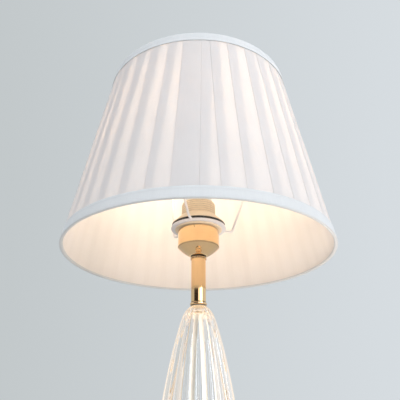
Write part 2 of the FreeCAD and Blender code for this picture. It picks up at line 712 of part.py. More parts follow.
def thread_profile(crest, depth, pitch, start, end):
    """Points of a row of rounded rings that show a thread: as many as fit from the start to the end."""
    points = [(crest - depth, start)]
    for turn in range(math.floor((end - start) / pitch)):
        base = start + turn * pitch
        points.append((crest, base + pitch / 2, crest - depth, base + pitch))
    return points


def make_holder_shell():
    """Flanged shell with a coarse outer thread and a spigot that enters the cap."""
    spigot = CAP_RADIUS - CAP_WALL - INSERT_CLEARANCE
    lip = HOLDER_INNER_RADIUS - HOLDER_LIP
    thread_start = FLANGE_TOP + THREAD_START
    thread_end = HOLDER_TOP - THREAD_END_MARGIN
    return turned([
        (HOLDER_INNER_RADIUS, INSERT_UNDERSIDE),
        (spigot, INSERT_UNDERSIDE),
        (spigot, FLANGE_UNDERSIDE),
        (FLANGE_RADIUS, FLANGE_UNDERSIDE),
        (FLANGE_RADIUS, FLANGE_TOP),
        (HOLDER_ROOT_RADIUS, FLANGE_TOP),
        *thread_profile(HOLDER_RADIUS, THREAD_DEPTH, THREAD_PITCH, thread_start, thread_end),
        (HOLDER_ROOT_RADIUS, HOLDER_TOP),
        (lip, HOLDER_TOP),
        (lip, HOLDER_TOP - HOLDER_WALL),
        (HOLDER_INNER_RADIUS, HOLDER_TOP - HOLDER_WALL),
    ])


def terminal_posts(radius, height):
    """Two cylinders that rise from the insert's underside, one for each pole."""
    posts = []
    for side in (-1, 1):
        foot = FreeCAD.Vector(side * TERMINAL_SPACING / 2, 0, INSERT_UNDERSIDE)
        posts.append(Part.makeCylinder(radius, height, foot))
    return posts


def make_holder_insert():
    insert = disc(HOLDER_INNER_RADIUS - INSERT_CLEARANCE, INSERT_UNDERSIDE, INSERT_TOP)
    return insert.cut(terminal_posts(TERMINAL_RADIUS, TERMINAL_HEIGHT))


def make_holder_terminals():
    posts = terminal_posts(TERMINAL_RADIUS, TERMINAL_HEIGHT)
    holes = terminal_posts(LEAD_RADIUS + LEAD_HOLE_CLEARANCE, LEAD_IN_TERMINAL)
    return Part.makeCompound([post.cut(hole) for post, hole in zip(posts, holes)])


def make_screw_shell():
    """Brass shell that takes the bulb's cap, with an opening in its floor for the contact."""
    inner = BULB_CAP_RADIUS + SHELL_CLEARANCE
    outer = inner + SHELL_THICKNESS
    floor_bore = CONTACT_LENGTH / 2 + CONTACT_THICKNESS
    top = INSERT_TOP + SHELL_HEIGHT
    return turned([
        (floor_bore, INSERT_TOP),
        (outer, INSERT_TOP),
        (outer, top),
        (inner, top),
        (inner, INSERT_TOP + SHELL_THICKNESS),
        (floor_bore, INSERT_TOP + SHELL_THICKNESS),
    ])


def make_centre_contact():
    """Springy tongue: a flat foot at one side, rising to a flat top under the bulb's tip."""
    end = CONTACT_LENGTH / 2
    low = INSERT_TOP + CONTACT_THICKNESS
    crown = CONTACT_WIDTH / 2
    corners = [
        (-end, INSERT_TOP),
        (-crown - CONTACT_RISE, INSERT_TOP),
        (-crown, CONTACT_TOP - CONTACT_THICKNESS),
        (crown, CONTACT_TOP - CONTACT_THICKNESS),
        (crown, CONTACT_TOP),
        (-crown - CONTACT_THICKNESS, CONTACT_TOP),
        (-crown - CONTACT_RISE - CONTACT_THICKNESS, low),
        (-end, low),
    ]
    points = [FreeCAD.Vector(x, -CONTACT_WIDTH / 2, z) for x, z in [*corners, corners[0]]]
    return Part.Face(Part.makePolygon(points)).extrude(FreeCAD.Vector(0, CONTACT_WIDTH, 0))


# Bulb


def make_bulb_tip():
    half = BULB_TIP_HEIGHT / 2
    return turned([
        (0, BULB_TIP_UNDERSIDE),
        (BULB_TIP_RADIUS - half, BULB_TIP_UNDERSIDE),
        (BULB_TIP_RADIUS, BULB_TIP_UNDERSIDE + half),
        (BULB_TIP_RADIUS, BULB_INSULATOR_UNDERSIDE),
        (0, BULB_INSULATOR_UNDERSIDE),
    ])


def make_bulb_insulator():
    root = BULB_CAP_RADIUS - BULB_CAP_ROOT
    return turned([
        (0, BULB_INSULATOR_UNDERSIDE),
        (BULB_TIP_RADIUS, BULB_INSULATOR_UNDERSIDE),
        (root - BULB_CAP_ROOT, BULB_CAP_UNDERSIDE),
        (0, BULB_CAP_UNDERSIDE),
    ])


def make_bulb_cap():
    start, end = BULB_CAP_UNDERSIDE, BULB_HOUSING_UNDERSIDE
    return turned([
        (0, start),
        *thread_profile(BULB_CAP_RADIUS, BULB_CAP_ROOT, BULB_CAP_PITCH, start, end),
        (BULB_CAP_RADIUS - BULB_CAP_ROOT, end),
        (0, end),
    ])


def make_bulb_housing():
    middle_radius = (BULB_HOUSING_NECK + BULB_HOUSING_RADIUS) / 2 - BULB_HOUSING_BOW
    middle_height = (BULB_HOUSING_UNDERSIDE + BULB_DOME_UNDERSIDE) / 2
    return turned([
        (0, BULB_HOUSING_UNDERSIDE),
        (BULB_HOUSING_NECK, BULB_HOUSING_UNDERSIDE),
        (middle_radius, middle_height, BULB_HOUSING_RADIUS, BULB_DOME_UNDERSIDE),
        (0, BULB_DOME_UNDERSIDE),
    ])


def dome(inset):
    """Bulb's opal dome, drawn in by an inset: a half sphere on a shallow arc that ends upright."""
    foot = BULB_HOUSING_RADIUS - inset
    widest = BULB_RADIUS - inset
    centre = BULB_TOP - BULB_RADIUS
    arc_radius = widest - (widest - foot) / 4
    arc_height = (BULB_DOME_UNDERSIDE + centre) / 2
    diagonal = widest * math.sqrt(0.5)
    return turned([
        (0, BULB_DOME_UNDERSIDE),
        (foot, BULB_DOME_UNDERSIDE),
        (arc_radius, arc_height, widest, centre),
        (diagonal, centre + diagonal, 0, centre + widest),
    ])


def make_bulb_dome():
    return dome(0).cut(dome(BULB_DOME_WALL))


# Shade and its clamp


def shade_radius(height):
    """Radius of the trim's outer face at a height above the shade's bottom plane."""
    share = height / SHADE_HEIGHT
    return SHADE_BOTTOM_RADIUS + (SHADE_TOP_RADIUS - SHADE_BOTTOM_RADIUS) * share


def in_shade(height, inset):
    """Point of a profile at a height above the shade's bottom plane, inset from the trim's face."""
    return shade_radius(height) - inset, SHADE_BOTTOM_HEIGHT + height


def make_fitter_ring():
    bore = HOLDER_RADIUS + FITTER_BORE_CLEARANCE
    return ring(FITTER_RADIUS, bore, FITTER_UNDERSIDE, FITTER_UNDERSIDE + FITTER_THICKNESS)


def rim_ring(height):
    """Wire ring in the rim at a height above the shade's bottom plane."""
    radius, level = in_shade(height, RING_INSET)
    return Part.makeTorus(radius, RING_WIRE_RADIUS, at(0, level))


def make_bottom_ring():
    return rim_ring(RING_EDGE_DISTANCE)


def make_top_ring():
    return rim_ring(SHADE_HEIGHT - RING_EDGE_DISTANCE)


def arms(radius):
    """The three arms as wires of a radius: out from the ring, a knee, then leaning up to the top ring."""
    level = FITTER_UNDERSIDE + FITTER_THICKNESS / 2
    ring_radius, ring_level = in_shade(SHADE_HEIGHT - RING_EDGE_DISTANCE, RING_INSET)
    beside_ring = ring_radius - RING_WIRE_RADIUS - ARM_WIRE_RADIUS
    lean = math.radians(ARM_LEAN)
    corners = [
        at(FITTER_RADIUS - ARM_ROOT_OVERLAP, level),
        at(FITTER_RADIUS + ARM_FOOT_LENGTH, level),
        FreeCAD.Vector(beside_ring * math.cos(lean), beside_ring * math.sin(lean), ring_level),
    ]
    arm = bent_wire(corners, [ARM_BEND], radius)
    return spaced_round(arm, [angle - 90 for angle in ARM_ANGLES])


def make_gimbal_arms():
    cut_by = [make_fitter_ring(), make_top_ring()]
    return Part.makeCompound([arm.cut(cut_by) for arm in arms(ARM_WIRE_RADIUS)])


def make_shade_liner():
    low, high = CLOTH_EDGE_DISTANCE, SHADE_HEIGHT - CLOTH_EDGE_DISTANCE
    return turned([
        in_shade(low, LINER_INNER_INSET),
        in_shade(low, LINER_OUTER_INSET),
        in_shade(high, LINER_OUTER_INSET),
        in_shade(high, LINER_INNER_INSET),
    ])


def pleated_outline(height):
    """Outline of the pleats at one height: each face starts at a fold and slips under the next."""
    crest, level = in_shade(height, CREST_INSET)
    valley = crest - PLEAT_STEP * crest / shade_radius(0)
    step = 2 * math.pi / PLEAT_COUNT
    points = []
    for index in range(PLEAT_COUNT):
        fold = index * step
        under = fold + step * (1 - PLEAT_EDGE_SHARE)
        points.append(FreeCAD.Vector(crest * math.cos(fold), crest * math.sin(fold), level))
        points.append(FreeCAD.Vector(valley * math.cos(under), valley * math.sin(under), level))
    return Part.makePolygon([*points, points[0]])


def inner_outline(height):
    """Outline of the cover's inner face at one height: two flats to a pleat."""
    radius, level = in_shade(height, COVER_INNER_INSET)
    points = []
    for index in range(2 * PLEAT_COUNT):
        angle = index * math.pi / PLEAT_COUNT
        points.append(FreeCAD.Vector(radius * math.cos(angle), radius * math.sin(angle), level))
    return Part.makePolygon([*points, points[0]])


def make_shade_cover():
    low, high = CLOTH_EDGE_DISTANCE, SHADE_HEIGHT - CLOTH_EDGE_DISTANCE
    outside = Part.makeLoft([pleated_outline(low), pleated_outline(high)], True, True)
    inside = Part.makeLoft([inner_outline(low), inner_outline(high)], True, True)
    return outside.cut(inside)


def trim(rim, inwards):
    """Tape folded round a rim: rim is the rim's height, inwards is +1 or -1 along Z."""
    def level(distance):
        return rim + inwards * distance

    return turned([
        in_shade(level(0), 0),
        in_shade(level(TRIM_HEIGHT), 0),
        in_shade(level(TRIM_HEIGHT), TRIM_THICKNESS),
        in_shade(level(TRIM_THICKNESS), TRIM_THICKNESS),
        in_shade(level(TRIM_THICKNESS), LIP_OUTER_INSET),
        in_shade(level(TRIM_LIP), LIP_OUTER_INSET),
        in_shade(level(TRIM_LIP), LIP_INNER_INSET),
        in_shade(level(0), LIP_INNER_INSET),
    ])


def make_bottom_trim():
    return trim(0, 1)


def make_top_trim():
    return trim(SHADE_HEIGHT, -1).cut(arms(ARM_WIRE_RADIUS + ARM_NOTCH_CLEARANCE))


def make_clamp_washer():
    bore = HOLDER_RADIUS + WASHER_BAND_CLEARANCE
    return ring(WASHER_BAND_RADIUS, bore, WASHER_BAND_UNDERSIDE, SHADE_RING_UNDERSIDE)


def make_shade_ring():
    top = SHADE_RING_UNDERSIDE + SHADE_RING_HEIGHT
    return turned([
        (SHADE_RING_BORE, SHADE_RING_UNDERSIDE),
        (SHADE_RING_RADIUS, SHADE_RING_UNDERSIDE),
        (SHADE_RING_RADIUS, SHADE_RING_UNDERSIDE + SHADE_RING_RIM),
        (SHADE_RING_BORE + SHADE_RING_TOP_WALL, top),
        (SHADE_RING_BORE, top),
    ])


PIECES = {
    "felt_pad": make_felt_pad,
    "bottom_cover": make_bottom_cover,
    "cover_screws": make_cover_screws,
    "base_weight": make_base_weight,
    "foot_shell": make_foot_shell,
    "inlet_bush": make_inlet_bush,
    "terminal_block": make_terminal_block,
    "terminal_block_screws": make_terminal_block_screws,
    "inner_leads": make_inner_leads,
    "threaded_rod": make_threaded_rod,
    "foot_nut": make_foot_nut,
    "foot_washer": make_foot_washer,
    "glass_seat": make_glass_seat,
    "lower_gasket": make_lower_gasket,
    "glass_body": make_glass_body,
    "rod_sleeve": make_rod_sleeve,
    "upper_gasket": make_upper_gasket,
    "neck_ring": make_neck_ring,
    "neck_tube": make_neck_tube,
    "neck_collar": make_neck_collar,
    "holder_cup": make_holder_cup,
    "holder_cap": make_holder_cap,
    "holder_shell": make_holder_shell,
    "holder_insert": make_holder_insert,
    "holder_terminals": make_holder_terminals,
    "screw_shell": make_screw_shell,
    "centre_contact": make_centre_contact,
    "bulb_tip": make_bulb_tip,
    "bulb_insulator": make_bulb_insulator,
    "bulb_cap": make_bulb_cap,
    "bulb_housing": make_bulb_housing,
    "bulb_dome": make_bulb_dome,
    "clamp_washer": make_clamp_washer,
    "shade_ring": make_shade_ring,
    "fitter_ring": make_fitter_ring,
    "gimbal_arms": make_gimbal_arms,
    "top_ring": make_top_ring,
    "bottom_ring": make_bottom_ring,
    "shade_liner": make_shade_liner,
    "shade_cover": make_shade_cover,
    "top_trim": make_top_trim,
    "bottom_trim": make_bottom_trim,
}

os.makedirs("parts", exist_ok=True)
for name, make in PIECES.items():
    shape = make()
    shape.exportStep(f"parts/{name}.step")
    print(f"{name}: {len(shape.Solids)} solids, {shape.Volume:.0f} mm3, valid {shape.isValid()}")
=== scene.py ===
"""Looks of a lit table lamp: ribbed clear glass body, gold fittings and a knife-pleated cone shade.

Lengths are metres. The lamp's axis is Z, -Y is its front, and an azimuth is counted from the front,
positive to the right. Sizes that the construction fixes are read from the frame's nodes.
"""

import logging
import math
from collections.abc import Callable
from dataclasses import dataclass, field
from enum import Enum

import bmesh
import bpy
import numpy as np
from bpy.types import Material, Node, NodeSocket, NodeTree, Object
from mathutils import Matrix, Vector


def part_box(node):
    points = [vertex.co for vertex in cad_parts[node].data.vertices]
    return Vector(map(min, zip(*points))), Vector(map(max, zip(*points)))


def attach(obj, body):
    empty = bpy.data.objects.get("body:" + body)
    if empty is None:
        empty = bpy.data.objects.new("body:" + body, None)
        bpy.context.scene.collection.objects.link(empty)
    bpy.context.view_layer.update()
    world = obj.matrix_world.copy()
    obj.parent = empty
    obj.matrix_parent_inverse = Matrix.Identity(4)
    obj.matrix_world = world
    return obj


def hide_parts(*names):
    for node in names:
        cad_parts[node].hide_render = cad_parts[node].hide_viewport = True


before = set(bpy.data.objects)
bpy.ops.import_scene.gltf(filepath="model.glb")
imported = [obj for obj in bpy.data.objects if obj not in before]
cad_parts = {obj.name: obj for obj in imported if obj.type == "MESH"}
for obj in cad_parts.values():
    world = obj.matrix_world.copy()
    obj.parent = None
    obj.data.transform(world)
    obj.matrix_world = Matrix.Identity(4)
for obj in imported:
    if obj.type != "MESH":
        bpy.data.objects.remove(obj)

LOG = logging.getLogger("table_lamp")
FULL_TURN = 2 * math.pi
MM = 0.001
WHOLE = (0.0, 1.0)
UNLIT = (0.0, 0.0, 0.0)
DUST_COLOUR = (0.62, 0.60, 0.57)
ROD_HOLE = 5.2 * MM


class Body(Enum):
    """Moving bodies of the lamp."""

    STAND = "stand"
    SHADE = "shade"
    WASHER = "clamp_washer"
    RING = "shade_ring"
    TIP = "bulb_tip"
    BULB = "bulb"


class Slot(Enum):
    """Material slots of the record, one for each finish."""

    GOLD = "polished_gold"
    PALE_GOLD = "pale_gold"
    BRASS = "brass"
    STEEL = "steel"
    NICKEL = "nickel"
    CAST_IRON = "cast_iron"
    PLATE_PAINT = "plate_paint"
    FELT = "felt"
    RUBBER = "black_rubber"
    GASKET = "clear_gasket"
    INSULATION = "lead_insulation"
    GLASS = "clear_glass"
    BEIGE = "beige_plastic"
    WHITE = "white_plastic"
    BLACK = "black_washer"
    CERAMIC = "white_ceramic"
    SOLDER = "solder"
    BLACK_GLASS = "black_glass"
    OPAL = "opal"
    POWDER_COAT = "white_paint"
    PLEATS = "pleated_fabric"
    LINING = "lining_fabric"
    TAPE = "trim_tape"


class PatternSpace(Enum):
    """Where a finish reads its pattern: the piece's flat map in metres, or its place in space."""

    FLAT = "UV"
    SPACE = "Object"


Colour = tuple[float, float, float]
Place = tuple[float, float, float]
Range = tuple[float, float]
Array = np.ndarray


# Nodes


@dataclass
class Wiring:
    """A node tree that is being wired.

    Attributes:
        tree: The node tree.
    """

    tree: NodeTree

    def add(self, kind: str, settings: dict | None = None, sockets: dict | None = None) -> Node:
        """Add a node.

        Args:
            kind: Name of the node's type.
            settings: Values of the node's own properties.
            sockets: Input sockets by name or index, each with a number, a colour or a socket to link.

        Returns:
            The new node.
        """
        node = self.tree.nodes.new(kind)
        for name, value in (settings or {}).items():
            setattr(node, name, value)
        for name, value in (sockets or {}).items():
            self.feed(node.inputs[name], value)
        return node

    def feed(self, socket: NodeSocket, value: object) -> None:
        """Give a socket a value, or link it if the value is another socket.

        Args:
            socket: The input socket.
            value: A number, a colour or a socket to link.
        """
        if isinstance(value, NodeSocket):
            self.tree.links.new(value, socket)
        elif isinstance(value, tuple) and len(value) == 3 and socket.type == "RGBA":
            socket.default_value = (*value, 1.0)
        else:
            socket.default_value = value

    def math(self, operation: str, *values: object) -> NodeSocket:
        """Work out a sum of numbers or sockets with a Math node."""
        return self.add("ShaderNodeMath", {"operation": operation}, dict(enumerate(values))).outputs[0]

    def blend(self, share: object, first: object, second: object) -> NodeSocket:
        """Blend two colours by a share from 0 to 1.

        Args:
            share: Share of the second colour.
            first: The first colour.
            second: The second colour.

        Returns:
            The colour's socket.
        """
        node = self.add("ShaderNodeMix", {"data_type": "RGBA"})
        for index, value in ((0, share), (6, first), (7, second)):
            self.feed(node.inputs[index], value)
        return node.outputs[2]

    def remap(self, value: object, source: Range, target: Range) -> NodeSocket:
        """Stretch a value from one range to another, held within the target range."""
        sockets = {0: value, 1: source[0], 2: source[1], 3: target[0], 4: target[1]}
        return self.add("ShaderNodeMapRange", sockets=sockets).outputs[0]

    def noise(self, place: object, scale: object, detail: float = 2.0) -> NodeSocket:
        """Smooth noise from 0 to 1 at a place, with a number of lumps to the metre."""
        sockets = {"Vector": place, "Scale": scale, "Detail": detail}
        return self.add("ShaderNodeTexNoise", sockets=sockets).outputs["Fac"]

    def stretch(self, place: object, factors: tuple[float, float, float]) -> NodeSocket:
        """Scale a place by a factor along each axis."""
        sockets = {"Vector": place, "Scale": factors}
        return self.add("ShaderNodeMapping", {"vector_type": "TEXTURE"}, sockets).outputs["Vector"]


class SharedEffects:
    """Node groups that several finishes use, each built once."""

    def __init__(self) -> None:
        """Build the groups."""
        self.weave = self._weave()
        self.brushing = self._brushing()
        self.grain = self._grain()
        self.wear = self._wear()
        self.dust = self._dust()
        self.mottle = self._mottle()

    @staticmethod
    def _group(name: str, inputs: dict[str, str], outputs: dict[str, str]) -> tuple[Wiring, dict, dict]:
        """Start a group with its sockets.

        Args:
            name: Name of the group.
            inputs: Socket kind, Float or Color, by the name of each input besides Place.
            outputs: Socket kind by output name.

        Returns:
            The group's wiring, its input sockets and its output sockets, by name.
        """
        tree = bpy.data.node_groups.new(name, "ShaderNodeTree")
        for label, kind in {"Place": "Vector", **inputs}.items():
            tree.interface.new_socket(label, in_out="INPUT", socket_type=f"NodeSocket{kind}")
        for label, kind in outputs.items():
            tree.interface.new_socket(label, in_out="OUTPUT", socket_type=f"NodeSocket{kind}")
        wiring = Wiring(tree)
        inner, outer = wiring.add("NodeGroupInput"), wiring.add("NodeGroupOutput")
        return wiring, dict(inner.outputs.items()), dict(outer.inputs.items())

    def _weave(self) -> NodeTree:
        """Plain weave of threads that cross over and under, with slubs.

        Returns:
            The group: Height of the threads, and GapShadeAndStreaks, painted shade that darkens the gaps
                between threads, times the slubs' streaks.
        """
        net, given, out = self._group(
            "plain weave", {"Threads": "Float"}, {"Height": "Float", "GapShadeAndStreaks": "Float"}
        )
        sockets = {0: given["Place"], 3: given["Threads"]}
        scaled = net.add("ShaderNodeVectorMath", {"operation": "SCALE"}, sockets)
        split = net.add("ShaderNodeSeparateXYZ", sockets={0: scaled.outputs[0]})
        across, along = split.outputs[0], split.outputs[1]
        rounds = []
        for way in (across, along):
            wave = net.math("SINE", net.math("MULTIPLY", way, math.pi))
            rounds.append(net.math("POWER", net.math("ABSOLUTE", wave), 0.7))
        cell = net.math("ADD", net.math("FLOOR", across), net.math("FLOOR", along))
        over = net.math("PINGPONG", cell, 1.0)
        warp = net.math("MULTIPLY", rounds[0], over)
        weft = net.math("MULTIPLY", rounds[1], net.math("SUBTRACT", 1.0, over))
        threads = net.math("ADD", warp, weft)
        slub = net.noise(net.stretch(given["Place"], (0.0004, 0.02, 1.0)), 1.0)
        net.feed(out["Height"], net.math("ADD", threads, net.math("MULTIPLY", slub, 0.5)))
        # Painted shade: the gaps between threads are darkened, times the slubs' streaks of real tone.
        streak = net.remap(slub, (0.3, 0.7), (0.955, 1.0))
        net.feed(out["GapShadeAndStreaks"], net.math("MULTIPLY", net.remap(threads, WHOLE, (0.93, 1.0)), streak))
        return net.tree

    def _brushing(self) -> NodeTree:
        """Fine polishing lines that run round a turned piece.

        Returns:
            The group: Height of the lines, and Haze from 0 to 1 for the roughness.
        """
        net, given, out = self._group(
            "polishing lines", {"Length": "Float"}, {"Height": "Float", "Haze": "Float"}
        )
        split = net.add("ShaderNodeSeparateXYZ", sockets={0: given["Place"]})
        short = net.math("DIVIDE", split.outputs[0], given["Length"])
        place = net.add("ShaderNodeCombineXYZ", sockets={0: short, 1: split.outputs[1], 2: split.outputs[2]})
        lines = net.noise(net.stretch(place.outputs[0], (1.0, 0.0005, 0.0005)), 1.0, 4.0)
        smear = net.noise(given["Place"], 28.0, 3.0)
        net.feed(out["Height"], lines)
        haze = net.math("ADD", net.math("MULTIPLY", lines, 0.55), net.math("MULTIPLY", smear, 0.45))
        net.feed(out["Haze"], net.remap(haze, (0.3, 0.7), WHOLE))
        return net.tree

    def _grain(self) -> NodeTree:
        """Fine grain of a moulded, cast or sprayed face.

        Returns:
            The group: Height of the grain, and Patch, a slow change from 0 to 1.
        """
        net, given, out = self._group(
            "surface grain", {"Grains": "Float"}, {"Height": "Float", "Patch": "Float"}
        )
        fine = net.noise(given["Place"], given["Grains"], 4.0)
        cells = net.add("ShaderNodeTexVoronoi", sockets={"Vector": given["Place"], "Scale": given["Grains"]})
        pits = net.remap(cells.outputs["Distance"], (0.0, 0.6), WHOLE)
        net.feed(out["Height"], net.math("ADD", net.math("MULTIPLY", pits, 0.4), fine))
        net.feed(out["Patch"], net.remap(net.noise(given["Place"], 35.0, 3.0), (0.35, 0.65), WHOLE))
        return net.tree

    def _wear(self) -> NodeTree:
        """Rubbing along a piece's edges, broken up unevenly, and painted shade in its grooves.

        Returns:
            The group: Rubbed, 1 where an edge is rubbed, and PaintedShade, 1 where painted shade darkens a
                groove.
        """
        net, given, out = self._group(
            "rubbing and tarnish",
            {"Edge": "Float", "Amount": "Float"},
            {"Rubbed": "Float", "PaintedShade": "Float"},
        )
        noise = net.noise(given["Place"], 240.0, 4.0)
        raised = net.math("MAXIMUM", given["Edge"], 0.0)
        worn = net.math("MULTIPLY", raised, net.remap(noise, (0.42, 0.62), WHOLE))
        net.feed(out["Rubbed"], net.math("MULTIPLY", worn, given["Amount"]))
        # Painted shade: faces marked with a negative edge value are darkened.
        sunk = net.math("MULTIPLY", net.math("MINIMUM", given["Edge"], 0.0), -1.0)
        net.feed(out["PaintedShade"], net.math("MULTIPLY", sunk, net.remap(noise, (0.3, 0.6), (0.95, 1.0))))
        return net.tree

    def _dust(self) -> NodeTree:
        """Thin dust on faces that look upwards.

        Returns:
            The group: Mask, the dust's share.
        """
        net, given, out = self._group("settled dust", {"Amount": "Float"}, {"Mask": "Float"})
        geometry = net.add("ShaderNodeNewGeometry")
        normal = net.add("ShaderNodeSeparateXYZ", sockets={0: geometry.outputs["Normal"]})
        upward = net.remap(normal.outputs[2], (0.25, 1.0), WHOLE)
        specks = net.remap(net.noise(given["Place"], 900.0, 3.0), (0.45, 0.75), (0.15, 1.0))
        dust = net.math("MULTIPLY", upward, specks)
        net.feed(out["Mask"], net.math("MULTIPLY", dust, given["Amount"]))
        return net.tree

    def _mottle(self) -> NodeTree:
        """Slow drift between two close colours.

        Returns:
            The group: Colour.
        """
        net, given, out = self._group(
            "slow drift",
            {"First": "Color", "Second": "Color", "Lumps": "Float"},
            {"Colour": "Color"},
        )
        share = net.remap(net.noise(given["Place"], given["Lumps"]), (0.35, 0.65), WHOLE)
        net.feed(out["Colour"], net.blend(share, given["First"], given["Second"]))
        return net.tree


def shade_of(colour: Colour, factor: float) -> Colour:
    """The colour, lighter or darker by a factor."""
    return tuple(min(1.0, part * factor) for part in colour)


class Painter:
    """Starts a material and places the shared effects in it."""

    def __init__(self, slot: Slot, effects: SharedEffects, space: PatternSpace) -> None:
        """Make an empty material.

        Args:
            slot: The record's slot, which names the material.
            effects: The shared node groups.
            space: Where its patterns are read.
        """
        self.material = bpy.data.materials.new(slot.value)
        self.material.use_nodes = True
        self.material.node_tree.nodes.clear()
        self.net = Wiring(self.material.node_tree)
        self.effects = effects
        self.output = self.net.add("ShaderNodeOutputMaterial")
        self.place = self.net.add("ShaderNodeTexCoord").outputs[space.value]

    def effect(self, group: NodeTree, sockets: dict) -> Node:
        """Place a shared group with its own values, read at the material's place."""
        return self.net.add("ShaderNodeGroup", {"node_tree": group}, {"Place": self.place, **sockets})

    def bump(self, height: NodeSocket, depth: float, strength: float = 1.0) -> NodeSocket:
        """Normal of a surface that rises by a height times a depth in metres."""
        sockets = {"Height": height, "Distance": depth, "Strength": strength}
        return self.net.add("ShaderNodeBump", sockets=sockets).outputs[0]

    def rubbed(self, base: object, worn: Colour, amount: float) -> NodeSocket:
        """Base colour that turns to the worn colour along the piece's edges, with painted shade that darkens
        its grooves.

        Args:
            base: The clean colour.
            worn: Colour of the rubbed edges.
            amount: Share of the edges that is rubbed.

        Returns:
            The colour's socket.
        """
        masks = self.effect(self.effects.wear, {"Edge": self.edge(), "Amount": amount})
        rubbed = self.net.blend(masks.outputs["Rubbed"], base, worn)
        # Painted shade: marked grooves turn nearly black.
        return self.net.blend(masks.outputs["PaintedShade"], rubbed, shade_of(worn, 0.05))

    def dusted(self, base: object, amount: float) -> NodeSocket:
        """Base colour under a little dust."""
        mask = self.effect(self.effects.dust, {"Amount": amount})
        return self.net.blend(mask.outputs["Mask"], base, DUST_COLOUR)

    def edge(self) -> NodeSocket:
        """The mesh's own edge values: rubbed edges, painted shade and the glass's painted glow."""
        return self.net.add("ShaderNodeAttribute", {"attribute_name": "edge"}).outputs["Fac"]

    def drifting(self, colour: Colour, darkest: float, lumps: float) -> NodeSocket:
        """A colour that drifts to a slightly darker one, with a number of lumps to the metre."""
        sockets = {"First": colour, "Second": shade_of(colour, darkest), "Lumps": lumps}
        return self.effect(self.effects.mottle, sockets).outputs["Colour"]

    def lit_through(
        self, shader: Node, share: float, colour: Colour, normal: NodeSocket
    ) -> NodeSocket:
        """Let a share of the light come through a thin wall.

        Args:
            shader: The wall's main shader.
            share: Share of the light that comes through.
            colour: Colour of that light.
            normal: Normal of the surface.

        Returns:
            The mixed shader, or the main one if nothing comes through.
        """
        if not share:
            return shader.outputs[0]
        through = self.net.add("ShaderNodeBsdfTranslucent", sockets={"Color": colour, "Normal": normal})
        sockets = {0: share, 1: shader.outputs[0], 2: through.outputs[0]}
        return self.net.add("ShaderNodeMixShader", sockets=sockets).outputs[0]

    def principled(self, sockets: dict) -> Node:
        """Place the material's main shader."""
        return self.net.add("ShaderNodeBsdfPrincipled", sockets=sockets)

    def finish(self, shader: NodeSocket) -> Material:
        """Link the shader to the surface and hand the material over."""
        self.net.feed(self.output.inputs["Surface"], shader)
        return self.material


# Finishes


@dataclass(frozen=True)
class MetalFinish:
    """Bare or plated metal with polishing lines.

    Attributes:
        slot: The record's slot.
        colour: Colour of the clean metal.
        roughness: Least and most roughness.
        line_length: How much longer than wide the polishing lines are.
        line_depth: Depth of the lines.
        metallic: How metallic the face is, less than 1 under a lacquer.
        worn: Colour of rubbed edges.
        wear: Share of the edges that is rubbed.
        dust: Share of dust on upward faces.
        space: Where the lines are read.
    """

    slot: Slot
    colour: Colour
    roughness: Range
    line_length: float = 60.0
    line_depth: float = 0.000004
    metallic: float = 1.0
    worn: Colour = (0.92, 0.90, 0.86)
    wear: float = 0.35
    dust: float = 0.05
    space: PatternSpace = PatternSpace.SPACE

    def build(self, effects: SharedEffects) -> Material:
        """Build the material from the shared effects.

        Args:
            effects: The shared node groups.

        Returns:
            The material.
        """
        paint = Painter(self.slot, effects, self.space)
        lines = paint.effect(effects.brushing, {"Length": self.line_length})
        base = paint.rubbed(paint.drifting(self.colour, 0.94, 22.0), self.worn, self.wear)
        base = paint.dusted(base, self.dust)
        shader = paint.principled({
            "Base Color": base,
            "Metallic": self.metallic,
            "Roughness": paint.net.remap(lines.outputs["Haze"], WHOLE, self.roughness),
            "Normal": paint.bump(lines.outputs["Height"], self.line_depth),
        })
        return paint.finish(shader.outputs[0])


@dataclass(frozen=True)
class MouldedFinish:
    """Moulded, cast, fired or sprayed material with a fine grain.

    Attributes:
        slot: The record's slot.
        colour: Main colour.
        roughness: Least and most roughness.
        grains: Grains to the metre.
        grain_depth: Depth of the grain.
        glow: Share of light that comes through thin walls.
        coat: Weight of a clear coat.
        wear: Share of the edges that is rubbed lighter.
        dust: Share of dust on upward faces.
    """

    slot: Slot
    colour: Colour
    roughness: Range
    grains: float = 2600.0
    grain_depth: float = 0.00002
    glow: float = 0.0
    coat: float = 0.0
    wear: float = 0.25
    dust: float = 0.06

    def build(self, effects: SharedEffects) -> Material:
        """Build the material from the shared effects.

        Args:
            effects: The shared node groups.

        Returns:
            The material.
        """
        paint = Painter(self.slot, effects, PatternSpace.SPACE)
        grain = paint.effect(effects.grain, {"Grains": self.grains})
        base = paint.rubbed(paint.drifting(self.colour, 0.95, 40.0), shade_of(self.colour, 1.15), self.wear)
        base = paint.dusted(base, self.dust)
        normal = paint.bump(grain.outputs["Height"], self.grain_depth)
        shader = paint.principled({
            "Base Color": base,
            "Roughness": paint.net.remap(grain.outputs["Patch"], WHOLE, self.roughness),
            "Coat Weight": self.coat,
            "Coat Roughness": 0.12,
            "Normal": normal,
        })
        return paint.finish(paint.lit_through(shader, self.glow, self.colour, normal))


